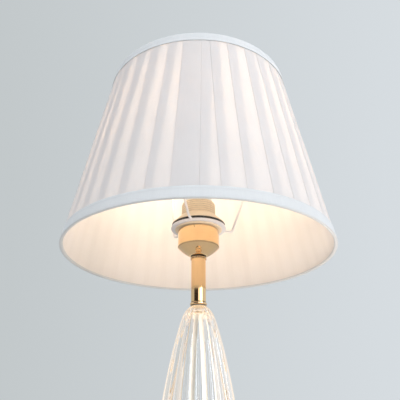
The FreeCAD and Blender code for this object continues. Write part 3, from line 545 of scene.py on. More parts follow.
@dataclass(frozen=True)
class ClothFinish:
    """Woven cloth that lets some light through.

    Attributes:
        slot: The record's slot.
        colour: Colour of the threads.
        passing: Colour of the light that comes through.
        share: Share of the light that comes through rather than back.
        threads: Threads to the metre.
        thread_depth: Depth of the weave.
        sheen: Weight of the sheen.
        painted_layer_shade: Share of its colour that is left as painted shade where the cloth lies three
            deep behind it.
        roughness: Least and most roughness.
    """

    slot: Slot
    colour: Colour
    passing: Colour
    share: float
    threads: float
    thread_depth: float
    sheen: float = 0.15
    painted_layer_shade: float = 0.965
    roughness: Range = (0.72, 0.88)

    def build(self, effects: SharedEffects) -> Material:
        """Build the material from the shared effects.

        Args:
            effects: The shared node groups.

        Returns:
            The material.
        """
        paint = Painter(self.slot, effects, PatternSpace.FLAT)
        weave = paint.effect(effects.weave, {"Threads": self.threads})
        cloth = paint.drifting(self.colour, 0.975, 30.0)
        # Painted shade: where the mesh marks the cloth three deep behind the lining, its colour is darkened.
        cloth = paint.net.blend(paint.edge(), cloth, shade_of(self.colour, self.painted_layer_shade))
        # The weave's painted gap shade and streaks scale the cloth's colour.
        base = paint.net.blend(weave.outputs["GapShadeAndStreaks"], UNLIT, cloth)
        normal = paint.bump(weave.outputs["Height"], self.thread_depth)
        shader = paint.principled({
            "Base Color": base,
            "Roughness": paint.net.remap(weave.outputs["Height"], (0.0, 1.4), self.roughness[::-1]),
            "Sheen Weight": self.sheen,
            "Sheen Roughness": 0.4,
            "Specular IOR Level": 0.25,
            "Normal": normal,
        })
        return paint.finish(paint.lit_through(shader, self.share, self.passing, normal))


@dataclass(frozen=True)
class GlassFinish:
    """Clear glass with faint ripples from its mould, which lets lamplight through, with a painted glow on
    its grazing faces and crown.

    Attributes:
        slot: The record's slot.
        colour: Colour of the light that passes.
        roughness: Least and most roughness.
        ripple_depth: Depth of the ripples.
        shadow: Share of lamplight that a wall lets through without bending it.
        painted_glow: Colour of the painted glow on the wall's grazing faces and crown, standing in for
            lamplight guided in the glass.
        painted_glow_strength: Strength of that painted glow.
    """

    slot: Slot
    colour: Colour
    roughness: Range = (0.0, 0.02)
    ripple_depth: float = 0.00012
    shadow: float = 0.9
    painted_glow: Colour = (1.0, 0.68, 0.38)
    painted_glow_strength: float = 0.31

    def build(self, effects: SharedEffects) -> Material:
        """Build the material from the shared effects.

        Args:
            effects: The shared node groups.

        Returns:
            The material.
        """
        paint = Painter(self.slot, effects, PatternSpace.SPACE)
        smear = paint.effect(effects.grain, {"Grains": 26.0})
        # Painted glow: emission at grazing faces and on the marked crown.
        facing = paint.net.add("ShaderNodeLayerWeight", sockets={"Blend": 0.5}).outputs["Facing"]
        painted_glow_share = paint.net.math("MAXIMUM", paint.net.remap(facing, (0.25, 0.95), WHOLE), paint.edge())
        shader = paint.principled({
            "Base Color": self.colour,
            "Emission Color": paint.net.blend(painted_glow_share, UNLIT, self.painted_glow),
            "Emission Strength": self.painted_glow_strength,
            "Roughness": paint.net.remap(smear.outputs["Patch"], WHOLE, self.roughness),
            "IOR": 1.5,
            "Transmission Weight": 1.0,
            "Normal": paint.bump(smear.outputs["Height"], self.ripple_depth, 0.6),
        })
        clear = paint.net.add("ShaderNodeBsdfTransparent", sockets={"Color": (self.shadow,) * 3})
        rays = paint.net.add("ShaderNodeLightPath")
        sockets = {0: rays.outputs["Is Shadow Ray"], 1: shader.outputs[0], 2: clear.outputs[0]}
        return paint.finish(paint.net.add("ShaderNodeMixShader", sockets=sockets).outputs[0])


@dataclass(frozen=True)
class GlowFinish:
    """Opal cover of a lit light source.

    Attributes:
        slot: The record's slot.
        colour: Colour of the cover itself.
        light: Colour of its light.
        strength: Strength of its light.
    """

    slot: Slot
    colour: Colour
    light: Colour
    strength: float

    def build(self, effects: SharedEffects) -> Material:
        """Build the material from the shared effects.

        Args:
            effects: The shared node groups.

        Returns:
            The material.
        """
        paint = Painter(self.slot, effects, PatternSpace.SPACE)
        grain = paint.effect(effects.grain, {"Grains": 1800.0})
        shader = paint.principled({
            "Base Color": self.colour,
            "Roughness": paint.net.remap(grain.outputs["Patch"], WHOLE, (0.22, 0.34)),
            "Emission Color": paint.drifting(self.light, 0.93, 45.0),
            "Emission Strength": self.strength,
            "Normal": paint.bump(grain.outputs["Height"], 0.00001),
        })
        return paint.finish(shader.outputs[0])


FLAT = PatternSpace.FLAT
FINISHES = (
    MetalFinish(Slot.GOLD, (0.98, 0.67, 0.36), (0.04, 0.10), worn=(0.97, 0.80, 0.60), space=FLAT),
    MetalFinish(Slot.PALE_GOLD, (0.97, 0.90, 0.79), (0.28, 0.42), metallic=0.1, space=FLAT),
    MetalFinish(Slot.BRASS, (0.78, 0.60, 0.31), (0.20, 0.38)),
    MetalFinish(Slot.STEEL, (0.60, 0.61, 0.62), (0.24, 0.42)),
    MetalFinish(Slot.NICKEL, (0.70, 0.69, 0.66), (0.16, 0.30), space=FLAT),
    MetalFinish(Slot.SOLDER, (0.62, 0.62, 0.63), (0.35, 0.55), line_length=2.0),
    MouldedFinish(Slot.CAST_IRON, (0.13, 0.13, 0.135), (0.55, 0.8), grains=1400.0, grain_depth=0.00012),
    MouldedFinish(Slot.PLATE_PAINT, (0.03, 0.03, 0.033), (0.35, 0.5), coat=0.2),
    MouldedFinish(Slot.RUBBER, (0.025, 0.025, 0.025), (0.6, 0.8), grain_depth=0.00003),
    MouldedFinish(Slot.GASKET, (0.80, 0.80, 0.78), (0.3, 0.45), glow=0.5),
    MouldedFinish(Slot.INSULATION, (0.28, 0.14, 0.07), (0.4, 0.55)),
    MouldedFinish(Slot.BEIGE, (0.86, 0.72, 0.53), (0.42, 0.58), glow=0.06),
    MouldedFinish(Slot.WHITE, (0.86, 0.86, 0.85), (0.35, 0.5)),
    MouldedFinish(Slot.BLACK, (0.012, 0.012, 0.013), (0.3, 0.45)),
    MouldedFinish(Slot.CERAMIC, (0.82, 0.80, 0.76), (0.5, 0.7), grains=4200.0),
    MouldedFinish(Slot.BLACK_GLASS, (0.02, 0.015, 0.02), (0.06, 0.14), coat=0.6, grain_depth=0.000004),
    MouldedFinish(Slot.POWDER_COAT, (0.74, 0.72, 0.73), (0.32, 0.46), grains=3200.0, grain_depth=0.00003),
    ClothFinish(Slot.FELT, (0.055, 0.055, 0.06), (0.05, 0.05, 0.05), 0.0, 1500.0, 0.0002, sheen=0.5),
    ClothFinish(Slot.PLEATS, (0.885, 0.91, 0.935), (0.96, 0.86, 0.79), 0.47, 2600.0, 0.00006),
    ClothFinish(Slot.LINING, (0.93, 0.895, 0.87), (0.93, 0.87, 0.82), 0.27, 2200.0, 0.00004),
    ClothFinish(Slot.TAPE, (0.71, 0.725, 0.735), (0.70, 0.68, 0.66), 0.10, 1700.0, 0.00010),
    GlassFinish(Slot.GLASS, (0.985, 0.99, 0.995)),
    GlowFinish(Slot.OPAL, (0.90, 0.86, 0.80), (1.0, 0.77, 0.50), 17.0),
)


# Meshes


@dataclass(frozen=True)
class Corner:
    """Corner of a turned section.

    Attributes:
        radius: Distance from the axis.
        height: Height above the table.
        rounding: Radius of the corner's own rounding.
        painted_shade: How much painted shade darkens the groove at this corner, from 0 to 1.
    """

    radius: float
    height: float
    rounding: float = 0.0003
    painted_shade: float = 0.0


@dataclass(frozen=True)
class Extent:
    """Size of a round CAD node: its underside, top and outer radius."""

    bottom: float
    top: float
    radius: float


def extent(node: str) -> Extent:
    """Read a round node's size from the frame."""
    low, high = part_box(node)
    return Extent(low[2], high[2], high[0])


def towards(azimuth: float, radius: float, height: float) -> Place:
    """Point at an azimuth in radians, a radius and a height."""
    return radius * math.sin(azimuth), -radius * math.cos(azimuth), height


def places_at(azimuth: Array, radius: Array, height: Array | float) -> Array:
    """Points at azimuths in radians, radii and heights, which are arrays that fit one another."""
    across, back = radius * np.sin(azimuth), -radius * np.cos(azimuth)
    return np.stack(np.broadcast_arrays(across, back, height), axis=-1)


def flat_map(across: Array, along: Array) -> Array:
    """Flat map of a grid, from its columns' places across and its rows' places along."""
    return np.stack(np.meshgrid(across, along), axis=-1)


def bent(start: Vector, pull: Vector, end: Vector, shares: Array | list[float]) -> list[Vector]:
    """Points at shares of the way along a curve that is pulled towards a point between its ends."""
    return [start.lerp(pull, share).lerp(pull.lerp(end, share), share) for share in shares]


def bowed(start: Vector, pull: Vector, end: Vector, steps: int, painted_shade: float = 0.0) -> list[Corner]:
    """Plain corners along such a curve in a section, without its two ends."""
    places = bent(start, pull, end, np.linspace(0.0, 1.0, steps)[1:-1])
    return [Corner(place.x, place.y, 0.0, painted_shade) for place in places]


def band(size: Extent, bore: float, outer: float = 0.0003, inner: float = 0.0003) -> list[Corner]:
    """Corners of a plain ring or tube round a bore, with the roundings of its outer and inner edges."""
    outside = [Corner(size.radius, height, outer) for height in (size.bottom, size.top)]
    return [*outside, *(Corner(bore, height, inner) for height in (size.top, size.bottom))]


def arc(radius: float, height: float, angles: Array, centre: float = 0.0) -> list[Corner]:
    """Plain corners on an arc about a centre, which lies at a height and a distance from the axis."""
    places = [(centre + radius * math.cos(angle), height + radius * math.sin(angle)) for angle in angles]
    return [Corner(*place, 0.0) for place in places]


def drift(places: Array, seed: int, waves: int = 5) -> Array:
    """Smooth, seeded wandering between about -1 and 1 that closes after a full turn.

    Args:
        places: Angles in radians.
        seed: Seed of the wandering.
        waves: How many slow waves it is made of.

    Returns:
        The wandering at each angle.
    """
    chance = np.random.default_rng(seed)
    total = np.zeros_like(places)
    for wave in range(waves):
        turns, phase = chance.integers(2, 5 + 4 * waves), chance.uniform(0, FULL_TURN)
        total += np.sin(places * turns + phase) * chance.uniform(0.5, 1.0)
    return total / waves


def section_points(corners: list[Corner], closed: bool) -> list[Place]:
    """Round a section's corners and mark its edges.

    Args:
        corners: Corners in order.
        closed: Whether the last corner joins the first.

    Returns:
        Points as (radius, height, edge): edge is 1 on a rounded corner, 0 on a flat, and negative where
            painted shade darkens a groove.
    """
    fade = 0.0007
    longest = 0.45
    shares = [step / 5 for step in range(6)]
    points = []
    count = len(corners)
    for index, corner in enumerate(corners):
        here = Vector((corner.radius, corner.height))
        open_end = not closed and index in (0, count - 1)
        if open_end or corner.rounding <= 0:
            points.append((here.x, here.y, -corner.painted_shade))
            continue
        before, after = corners[index - 1], corners[(index + 1) % count]
        back = Vector((before.radius, before.height)) - here
        onward = Vector((after.radius, after.height)) - here
        half = back.angle(onward) / 2
        reach = min(corner.rounding / math.tan(half), back.length * longest, onward.length * longest)
        start, end = here + back.normalized() * reach, here + onward.normalized() * reach
        if back.length - reach > 3 * fade:
            flat = start + back.normalized() * fade
            points.append((flat.x, flat.y, 0.0))
        # A corner with painted shade gets a negative mark, which its finish paints dark.
        mark = -corner.painted_shade if corner.painted_shade else 1.0
        points += [(place.x, place.y, mark) for place in bent(start, here, end, shares)]
        if onward.length - reach > 3 * fade:
            flat = end + onward.normalized() * fade
            points.append((flat.x, flat.y, 0.0))
    return points


def grid_mesh(
    name: str,
    points: Array,
    flat: Array,
    around: bool = True,
    closed: bool = False,
    edge: Array | None = None,
) -> Object:
    """Make an object from a grid of points.

    Args:
        name: Name of the object.
        points: Array of rows, columns and coordinates.
        flat: Flat map in metres, with one more row or column than points where the grid closes.
        around: Whether the last column joins the first.
        closed: Whether the last row joins the first.
        edge: Edge value of each row or point, if the finish reads it.

    Returns:
        The object, smooth-shaded but for sharp edges.
    """
    rows, columns = points.shape[:2]
    down = np.arange(rows if closed else rows - 1)
    along = np.arange(columns if around else columns - 1)
    row, column = (part.ravel() for part in np.meshgrid(down, along, indexing="ij"))
    corners = ((row, column), (row, column + 1), (row + 1, column + 1), (row + 1, column))
    faces = np.stack([(r % rows) * columns + c % columns for r, c in corners], axis=1)
    mesh = bpy.data.meshes.new(name)
    mesh.from_pydata(points.reshape(-1, 3).tolist(), [], faces.tolist())
    layer = mesh.uv_layers.new(name="flat")
    layer.data.foreach_set("uv", np.stack([flat[r, c] for r, c in corners], axis=1).ravel())
    if edge is not None:
        values = np.broadcast_to(edge if edge.ndim == 2 else edge[:, None], (rows, columns))
        marks = mesh.attributes.new("edge", "FLOAT", "POINT")
        marks.data.foreach_set("value", np.ascontiguousarray(values, dtype=np.float32).ravel())
    work = bmesh.new()
    work.from_mesh(mesh)
    bmesh.ops.remove_doubles(work, verts=work.verts, dist=1e-7)
    bmesh.ops.recalc_face_normals(work, faces=work.faces)
    work.to_mesh(mesh)
    work.free()
    mesh.shade_smooth()
    mesh.set_sharp_from_angle(angle=math.radians(50))
    piece = bpy.data.objects.new(name, mesh)
    bpy.context.scene.collection.objects.link(piece)
    return piece


def lengths(steps: Array) -> Array:
    """Running length along a path of points."""
    return np.concatenate([[0.0], np.cumsum(np.linalg.norm(np.diff(steps, axis=0), axis=1))])


def turned(
    name: str,
    corners: list[Corner],
    closed: bool = True,
    columns: int = 160,
    swell: Callable[[Array, Array], Array] | None = None,
    groove_depth: float = 0.0,
) -> Object:
    """Turn a section about the lamp's axis.

    Args:
        name: Name of the object.
        corners: Corners of the section.
        closed: Whether the section closes on itself.
        columns: Steps round the axis.
        swell: Function of the section's points and the angles that gives each point's added radius.
        groove_depth: Depth of the grooves between a thread's ridges, which are marked for painted shade, or
            0.

    Returns:
        The object.
    """
    section = np.array(section_points(corners, closed))
    angles = np.linspace(0.0, FULL_TURN, columns, endpoint=False)
    added = swell(section, angles) if swell else np.zeros((1, columns))
    radius = section[:, :1] + added
    edge = section[:, 2]
    if groove_depth:
        # Painted shade: the grooves get negative edge values, which their finish paints dark.
        threaded = added.max(axis=1, keepdims=True) > groove_depth / 2
        steepness = 2.2
        dark = np.clip((added / groove_depth - 1.0) * steepness + 1.0, -1.0, 0.0)
        edge = np.where(threaded, dark, edge[:, None])
    points = places_at(angles, radius, section[:, 1:2])
    path = section[:, :2]
    if closed:
        path = np.vstack([path, path[:1]])
    run = lengths(path)
    turn = np.linspace(0.0, FULL_TURN, columns + 1) * section[:, 0].max()
    flat = flat_map(turn, run)
    return grid_mesh(name, points, flat, closed=closed, edge=edge)


def smooth_path(points: Array, steps: int) -> Array:
    """Smooth curve through points, with a number of steps between each two.

    Args:
        points: The points.
        steps: Steps between each two points.

    Returns:
        Points of the curve.
    """
    padded = np.vstack([2 * points[0] - points[1], points, 2 * points[-1] - points[-2]])
    curve = []
    for index in range(len(points) - 1):
        first, second, third, fourth = padded[index:index + 4]
        for share in np.linspace(0.0, 1.0, steps, endpoint=False):
            curve.append(0.5 * (
                2 * second + (third - first) * share
                + (2 * first - 5 * second + 4 * third - fourth) * share**2
                + (3 * second - first - 3 * third + fourth) * share**3
            ))
    return np.array([*curve, points[-1]])


def tube(name: str, path: Array, radii: Array, sides: int = 20) -> Object:
    """Round bar of changing thickness along a path.

    Args:
        name: Name of the object.
        path: Points of its middle line.
        radii: Radius at each point.
        sides: Steps round the bar.

    Returns:
        The object, with its ends drawn in and closed.
    """
    tangents = np.gradient(path, axis=0)
    tangents /= np.linalg.norm(tangents, axis=1)[:, None]
    guide = np.cross(tangents[0], tangents[-1])
    if np.linalg.norm(guide) < 1e-6:
        guide = np.cross(tangents[0], (0.3, 0.5, 0.8))
    across = np.cross(tangents, guide / np.linalg.norm(guide))
    across /= np.linalg.norm(across, axis=1)[:, None]
    beside = np.cross(tangents, across)
    angles = np.linspace(0.0, FULL_TURN, sides, endpoint=False)
    rings = across[:, None] * np.cos(angles)[:, None] + beside[:, None] * np.sin(angles)[:, None]
    points = path[:, None] + rings * radii[:, None, None]
    first, last = (np.repeat(end[:, None], sides, 1) for end in (path[:1], path[-1:]))
    points = np.concatenate([first, points, last])
    run = np.concatenate([[0.0], lengths(path), [lengths(path)[-1]]])
    turn = np.linspace(0.0, FULL_TURN, sides + 1) * radii.max()
    flat = flat_map(turn, run)
    return grid_mesh(name, points, flat, edge=np.zeros(len(points)))


class Workshop:
    """Dresses pieces and fixes them to the frame."""

    def __init__(self) -> None:
        """Build every finish."""
        effects = SharedEffects()
        self.materials = {finish.slot: finish.build(effects) for finish in FINISHES}

    def place(self, piece: Object, body: Body, slot: Slot, *nodes: str) -> Object:
        """Dress a piece, fix it to a body and let it stand for CAD nodes.

        Args:
            piece: The piece.
            body: The body that it moves with.
            slot: Its finish.
            nodes: The CAD nodes that it stands for.

        Returns:
            The piece.
        """
        piece.data.materials.append(self.materials[slot])
        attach(piece, body.value)
        if nodes:
            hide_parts(*nodes)
        LOG.info("%s: %d faces on %s", piece.name, len(piece.data.polygons), body.value)
        return piece

    def dress(self, slot: Slot, *nodes: str) -> None:
        """Give CAD nodes that stay as they are their finish.

        Args:
            slot: The finish's slot.
            nodes: The CAD nodes.
        """
        for node in nodes:
            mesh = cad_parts[node].data
            mesh.materials.clear()
            mesh.materials.append(self.materials[slot])
            LOG.info("%s: frame node in %s", node, slot.value)


# Foot


@dataclass
class Foot:
    """Gold foot with its felt, cover, weight and cable inlet.

    Attributes:
        wall: Thickness of the foot's shell.
        ledge: Width of the ledge round its rim.
        dome_height: Rise of its dome above the ledge.
        dome_top_radius: Radius at the dome's top, where the step begins.
        step_height: Height of that step.
        rim_rounding: Rounding of the rim's upper edge.
        dome_bulge: How far the dome bows upwards.
        bush_bore: Radius of the cable's bore.
        bush_wall: Wall of the bush.
        flange_width: How far the bush's flange reaches past its wall.
        flange_depth: Thickness of that flange.
    """

    wall: float = 1.5 * MM
    ledge: float = 4 * MM
    dome_height: float = 7.5 * MM
    dome_top_radius: float = 27 * MM
    step_height: float = 3 * MM
    rim_rounding: float = 0.7 * MM
    dome_bulge: float = 1.9 * MM
    bush_bore: float = 3.4 * MM
    bush_wall: float = 1.2 * MM
    flange_width: float = 1.6 * MM
    flange_depth: float = 1.6 * MM

    def build(self, shop: Workshop) -> None:
        """Build the foot's pieces.

        Args:
            shop: The workshop.
        """
        shop.place(self.shell(), Body.STAND, Slot.GOLD, "foot_shell")
        shop.place(self.felt(), Body.STAND, Slot.FELT, "felt_pad")
        shop.place(self.bush(), Body.STAND, Slot.RUBBER, "inlet_bush")
        shop.dress(Slot.PLATE_PAINT, "bottom_cover")
        shop.dress(Slot.CAST_IRON, "base_weight")
        shop.dress(Slot.STEEL, "cover_screws", "threaded_rod", "foot_nut", "foot_washer")
        shop.dress(Slot.WHITE, "terminal_block")
        shop.dress(Slot.BRASS, "terminal_block_screws")
        shop.dress(Slot.INSULATION, "inner_leads")

    def shell(self) -> Object:
        """Turn the foot's shell, with a hole for the cable's bush.

        Returns:
            The piece.
        """
        size = extent("foot_shell")
        ledge_height = size.top - self.step_height - self.dome_height
        dome = self.dome(size, ledge_height)
        inside = [Corner(c.radius - self.wall, c.height - self.wall, 0.0) for c in reversed(dome)]
        step_base = size.top - self.step_height
        corners = [
            Corner(size.radius, size.bottom, 0.4 * MM),
            Corner(size.radius, ledge_height, self.rim_rounding),
            Corner(size.radius - self.ledge, ledge_height, 0.0),
            *dome,
            Corner(self.dome_top_radius, step_base, 0.0), Corner(self.dome_top_radius, size.top, 0.6 * MM),
            Corner(ROD_HOLE, size.top), Corner(ROD_HOLE, step_base - self.wall),
            *inside,
            Corner(size.radius - self.wall, ledge_height - self.wall),
            Corner(size.radius - self.wall, size.bottom),
        ]
        shell = turned("foot_gold_shell", corners, columns=256)
        self.pierce(shell)
        return shell

    def dome(self, size: Extent, ledge_height: float) -> list[Corner]:
        """The dome's curve from the ledge to the step.

        Args:
            size: Size of the CAD node.
            ledge_height: Height of the ledge.

        Returns:
            Its corners.
        """
        start = Vector((size.radius - self.ledge, ledge_height))
        end = Vector((self.dome_top_radius, size.top - self.step_height))
        bulge = Vector(((start.x + end.x) / 2, (start.y + end.y) / 2 + 2 * self.dome_bulge))
        return bowed(start, bulge, end, 18)

    def pierce(self, shell: Object) -> None:
        """Open the rim behind the cable's bush by taking out the faces that lie within its tube.

        Args:
            shell: The shell.
        """
        low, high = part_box("inlet_bush")
        back, level = high[1], (low[2] + high[2]) / 2
        reach = (high[2] - low[2]) / 2 - self.flange_width
        work = bmesh.new()
        work.from_mesh(shell.data)
        hidden = []
        for face in work.faces:
            place = face.calc_center_median()
            if place.y > back / 2 and math.hypot(place.x, place.z - level) < reach:
                hidden.append(face)
        bmesh.ops.delete(work, geom=hidden, context="FACES")
        work.to_mesh(shell.data)
        work.free()

    def felt(self) -> Object:
        """Felt disc with a soft, slightly uneven edge.

        Returns:
            The piece.
        """
        size = extent("felt_pad")
        def ragged(section: Array, angles: Array) -> Array:
            """Draw the edge in a little, unevenly."""
            near_edge = (section[:, :1] / size.radius) ** 8
            return (drift(angles, 7, 9)[None] * 0.25 * MM - 0.2 * MM) * near_edge

        half = (size.top - size.bottom) / 2
        corners = [
            Corner(0.0, size.bottom, 0.0), Corner(size.radius * 0.5, size.bottom, 0.0),
            Corner(size.radius, size.bottom, half * 0.7), Corner(size.radius, size.top, half * 0.5),
            Corner(0.0, size.top, 0.0),
        ]
        return turned("foot_felt", corners, closed=False, columns=256, swell=ragged)

    def bush(self) -> Object:
        """Rubber bush of the cable inlet, with a rounded flange and an open bore.

        Returns:
            The piece.
        """
        low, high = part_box("inlet_bush")
        bore, outside = self.bush_bore, self.bush_bore + self.bush_wall
        flange = (high[2] - low[2]) / 2
        middle = (low[2] + high[2]) / 2
        length = high[1] - low[1]
        corners = [
            Corner(bore, 0.0, 0.4 * MM), Corner(bore, length, 0.5 * MM), Corner(flange, length, 0.6 * MM),
            Corner(flange, length - self.flange_depth, 0.3 * MM),
            Corner(outside, length - self.flange_depth - 0.2 * MM, 0.2 * MM),
            Corner(outside, 0.0, 0.3 * MM),
        ]
        bush = turned("inlet_rubber_bush", corners, columns=72)
        mesh = bush.data
        place = np.empty(len(mesh.vertices) * 3)
        mesh.vertices.foreach_get("co", place)
        place = place.reshape(-1, 3)
        laid = np.stack([place[:, 0], low[1] + place[:, 2], middle + place[:, 1]], axis=1)
        mesh.vertices.foreach_set("co", laid.ravel())
        mesh.update()
        return bush


# Glass body


@dataclass
class GlassBody:
    """Ribbed glass body with its seat, gaskets and the sleeve that hides the rod.

    Attributes:
        rib_count: Ribs round the body.
        rib_bulge: Depth of the grooves between ribs, as a share of the radius.
        outline: Shares of height and of the greatest radius, from just above the foot to near the top.
        foot_radius: Radius of the foot that stands in the seat.
        top_radius: Radius of the flat top.
        wall: Thickness of the wall.
        foot_bore: Radius of the opening in the foot.
        crown: Depth of solid glass at the top.
        sleeve_room: Radius of the hollow's top, above the sleeve.
        sleeve_wall: Wall of the sleeve.
        seat_radius: Radius of the seat's rim.
        seat_waist: Radius of the seat's waist.
        seat_room: Gap between the glass's foot and the seat's rim.
        seat_heights: Heights of the waist, the recess's floor and the rim above the seat's underside.
    """

    rib_count: int = 24
    rib_bulge: float = 0.055
    outline: tuple[tuple[float, float], ...] = (
        (0.03, 0.567), (0.08, 0.778), (0.16, 0.944), (0.255, 1.0), (0.38, 0.973), (0.52, 0.898),
        (0.66, 0.800), (0.81, 0.626), (0.892, 0.502), (0.951, 0.396), (0.98, 0.313),
    )
    foot_radius: float = 20 * MM
    top_radius: float = 8.6 * MM
    wall: float = 5 * MM
    foot_bore: float = 14 * MM
    crown: float = 7 * MM
    sleeve_room: float = 7.6 * MM
    sleeve_wall: float = 1.4 * MM
    seat_radius: float = 24 * MM
    seat_waist: float = 14 * MM
    seat_room: float = 0.6 * MM
    seat_heights: tuple[float, float, float] = (4 * MM, 9 * MM, 12 * MM)

    def build(self, shop: Workshop) -> None:
        """Build the body, its seat and what stands in it.

        Args:
            shop: The workshop.
        """
        shop.place(self.body(), Body.STAND, Slot.GLASS, "glass_body")
        shop.place(self.seat(), Body.STAND, Slot.GOLD, "glass_seat")
        shop.place(self.sleeve(), Body.STAND, Slot.PALE_GOLD, "rod_sleeve")
        shop.dress(Slot.GASKET, "lower_gasket", "upper_gasket")

    def outer_curve(self, size: Extent) -> Array:
        """Heights and radii over the ribs, from the foot's collar to the top.

        Args:
            size: Size of the CAD node.

        Returns:
            Points as (height, radius).
        """
        height = size.top - size.bottom
        middle = [(size.bottom + share * height, part * size.radius) for share, part in self.outline]
        collar = (size.bottom + 2 * MM, self.foot_radius)
        return smooth_path(np.array([collar, *middle, (size.top, self.top_radius)]), 9)

    def body(self) -> Object:
        """Body as one closed wall: ribbed outside, smooth inside.

        Returns:
            The piece.
        """
        size = extent("glass_body")
        outside = self.outer_curve(size)
        crown = size.top - self.crown
        lowest, highest = size.bottom + 8 * MM, crown - self.wall
        inside = [row for row in outside[::-1] if lowest < row[0] < highest]
        path = [
            (size.bottom + 0.5 * MM, self.foot_radius, 0.0),
            *[(height, radius, 1.0) for height, radius in outside],
            (size.top, ROD_HOLE + 0.4 * MM, 0.0), (size.top - 0.4 * MM, ROD_HOLE, 0.0),
            (crown, ROD_HOLE, 0.0),
            (crown, self.sleeve_room - 1 * MM, 0.0), (crown - 0.6 * MM, self.sleeve_room, 0.0),
            *[(height, radius - self.wall, 0.0) for height, radius in inside],
            (size.bottom + 4 * MM, self.foot_bore + 0.5 * MM, 0.0),
            (size.bottom + 0.5 * MM, self.foot_bore, 0.0), (size.bottom, self.foot_bore + 0.5 * MM, 0.0),
            (size.bottom, self.foot_radius - 0.5 * MM, 0.0),
        ]
        section = np.array(path)
        steps = 14
        columns = self.rib_count * steps
        angles = np.arange(columns) * FULL_TURN / columns
        across = (np.arange(columns) % steps) / steps
        groove = self.rib_bulge * (2 * across - 1) ** 2
        radius = section[:, 1:2] * (1 - section[:, 2:3] * groove)
        points = places_at(angles, radius, section[:, :1])
        run = lengths(np.vstack([section[:, :2], section[:1, :2]]))
        turn = np.linspace(0.0, FULL_TURN, columns + 1) * size.radius
        flat = flat_map(turn, run)
        # Painted glow: the inner crown is marked so that the glass's emission lights it up.
        above = np.clip((section[:, 0] - crown + 9 * MM) / (8 * MM), 0.0, 1.0)
        unribbed = section[:, 2] == 0
        return grid_mesh("ribbed_glass", points, flat, closed=True, edge=above * unribbed * 0.5)

    def seat(self) -> Object:
        """Gold seat: a waist, a cove and a rim round the glass's foot.

        Returns:
            The piece.
        """
        size = extent("glass_seat")
        radius, waist = self.seat_radius, self.seat_waist
        waist_top, floor, top = (size.bottom + height for height in self.seat_heights)
        recess = self.foot_radius + self.seat_room
        start, end = Vector((waist, waist_top)), Vector((radius, floor))
        pull = Vector((waist + 1.5 * MM, floor - 0.6 * MM))
        corners = [
            Corner(ROD_HOLE, size.bottom), Corner(waist, size.bottom, 0.2 * MM),
            Corner(waist, waist_top, 0.0),
            *bowed(start, pull, end, 14),
            Corner(radius, floor, 0.35 * MM), Corner(radius, top, 0.5 * MM), Corner(recess, top, 0.3 * MM),
            Corner(recess, floor), Corner(ROD_HOLE, floor),
        ]
        return turned("glass_gold_seat", corners)

    def sleeve(self) -> Object:
        """Thin satin sleeve round the rod inside the glass."""
        size = extent("rod_sleeve")
        return turned("rod_satin_sleeve", band(size, size.radius - self.sleeve_wall), columns=96)


# Neck


@dataclass
class Neck:
    """Gold neck between the glass and the lampholder.

    Attributes:
        tube_wall: Wall of the tube.
        ring_radius: Radius of the ring on top of the glass.
        collar_steps: The collar's beads and grooves upwards: height, overhang past the tube, and painted
            shade that darkens the step.
    """

    tube_wall: float = 1 * MM
    ring_radius: float = 9 * MM
    collar_steps: tuple[tuple[float, float, float], ...] = (
        (0.6 * MM, 0.8 * MM, 0.0), (0.6 * MM, -0.1 * MM, 1.0),
        (0.6 * MM, 0.9 * MM, 0.0), (2.2 * MM, 0.5 * MM, 1.0),
    )

    def build(self, shop: Workshop) -> None:
        """Build the ring, tube and collar.

        Args:
            shop: The workshop.
        """
        shop.place(self.ring(), Body.STAND, Slot.GOLD, "neck_ring")
        shop.place(self.tube(), Body.STAND, Slot.GOLD, "neck_tube")
        shop.place(self.collar(), Body.STAND, Slot.GOLD, "neck_collar")

    def ring(self) -> Object:
        """Rounded ring on top of the glass.

        Returns:
            The piece.
        """
        size = extent("neck_ring")
        radius = self.ring_radius
        half = (size.top - size.bottom) / 2
        # The small inner corners under and on top of the ring carry painted shade, drawn as thin dark lines.
        corners = [
            Corner(ROD_HOLE, size.bottom), Corner(radius - 0.6 * MM, size.bottom, 0.2 * MM, 0.8),
            Corner(radius - 0.5 * MM, size.bottom + half * 0.5, 0.1 * MM, 0.8),
            Corner(radius, size.bottom + half * 0.7, half * 0.3),
            Corner(radius, size.top - half * 0.5, half * 0.3),
            Corner(radius - 0.9 * MM, size.top - half * 0.4, 0.05 * MM, 0.9),
            Corner(radius - 0.9 * MM, size.top, 0.05 * MM, 0.9), Corner(ROD_HOLE, size.top),
        ]
        return turned("neck_gold_ring", corners, columns=128)

    def tube(self) -> Object:
        """Plain tube of the neck.

        Returns:
            The piece.
        """
        size = extent("neck_tube")
        wall = band(size, size.radius - self.tube_wall, 0.15 * MM, 0.1 * MM)
        return turned("neck_gold_tube", wall, columns=128)

    def collar(self) -> Object:
        """Rounded beads with grooves between them; the groove and the wide top band are darkened by painted
        shade.

        Returns:
            The piece.
        """
        size = extent("neck_collar")
        corners = [Corner(ROD_HOLE, size.bottom)]
        height = size.bottom
        for step, overhang, painted_shade in self.collar_steps:
            radius = size.radius - 0.8 * MM + overhang
            # A step with painted shade keeps sharp corners and is painted dark.
            rounding = 0.0 if painted_shade else step * 0.48
            corners += [Corner(radius, height + rise, rounding, painted_shade) for rise in (0.0, step)]
            height += step
        corners.append(Corner(ROD_HOLE, height))
        return turned("neck_gold_collar", corners, columns=128)


# Lampholder


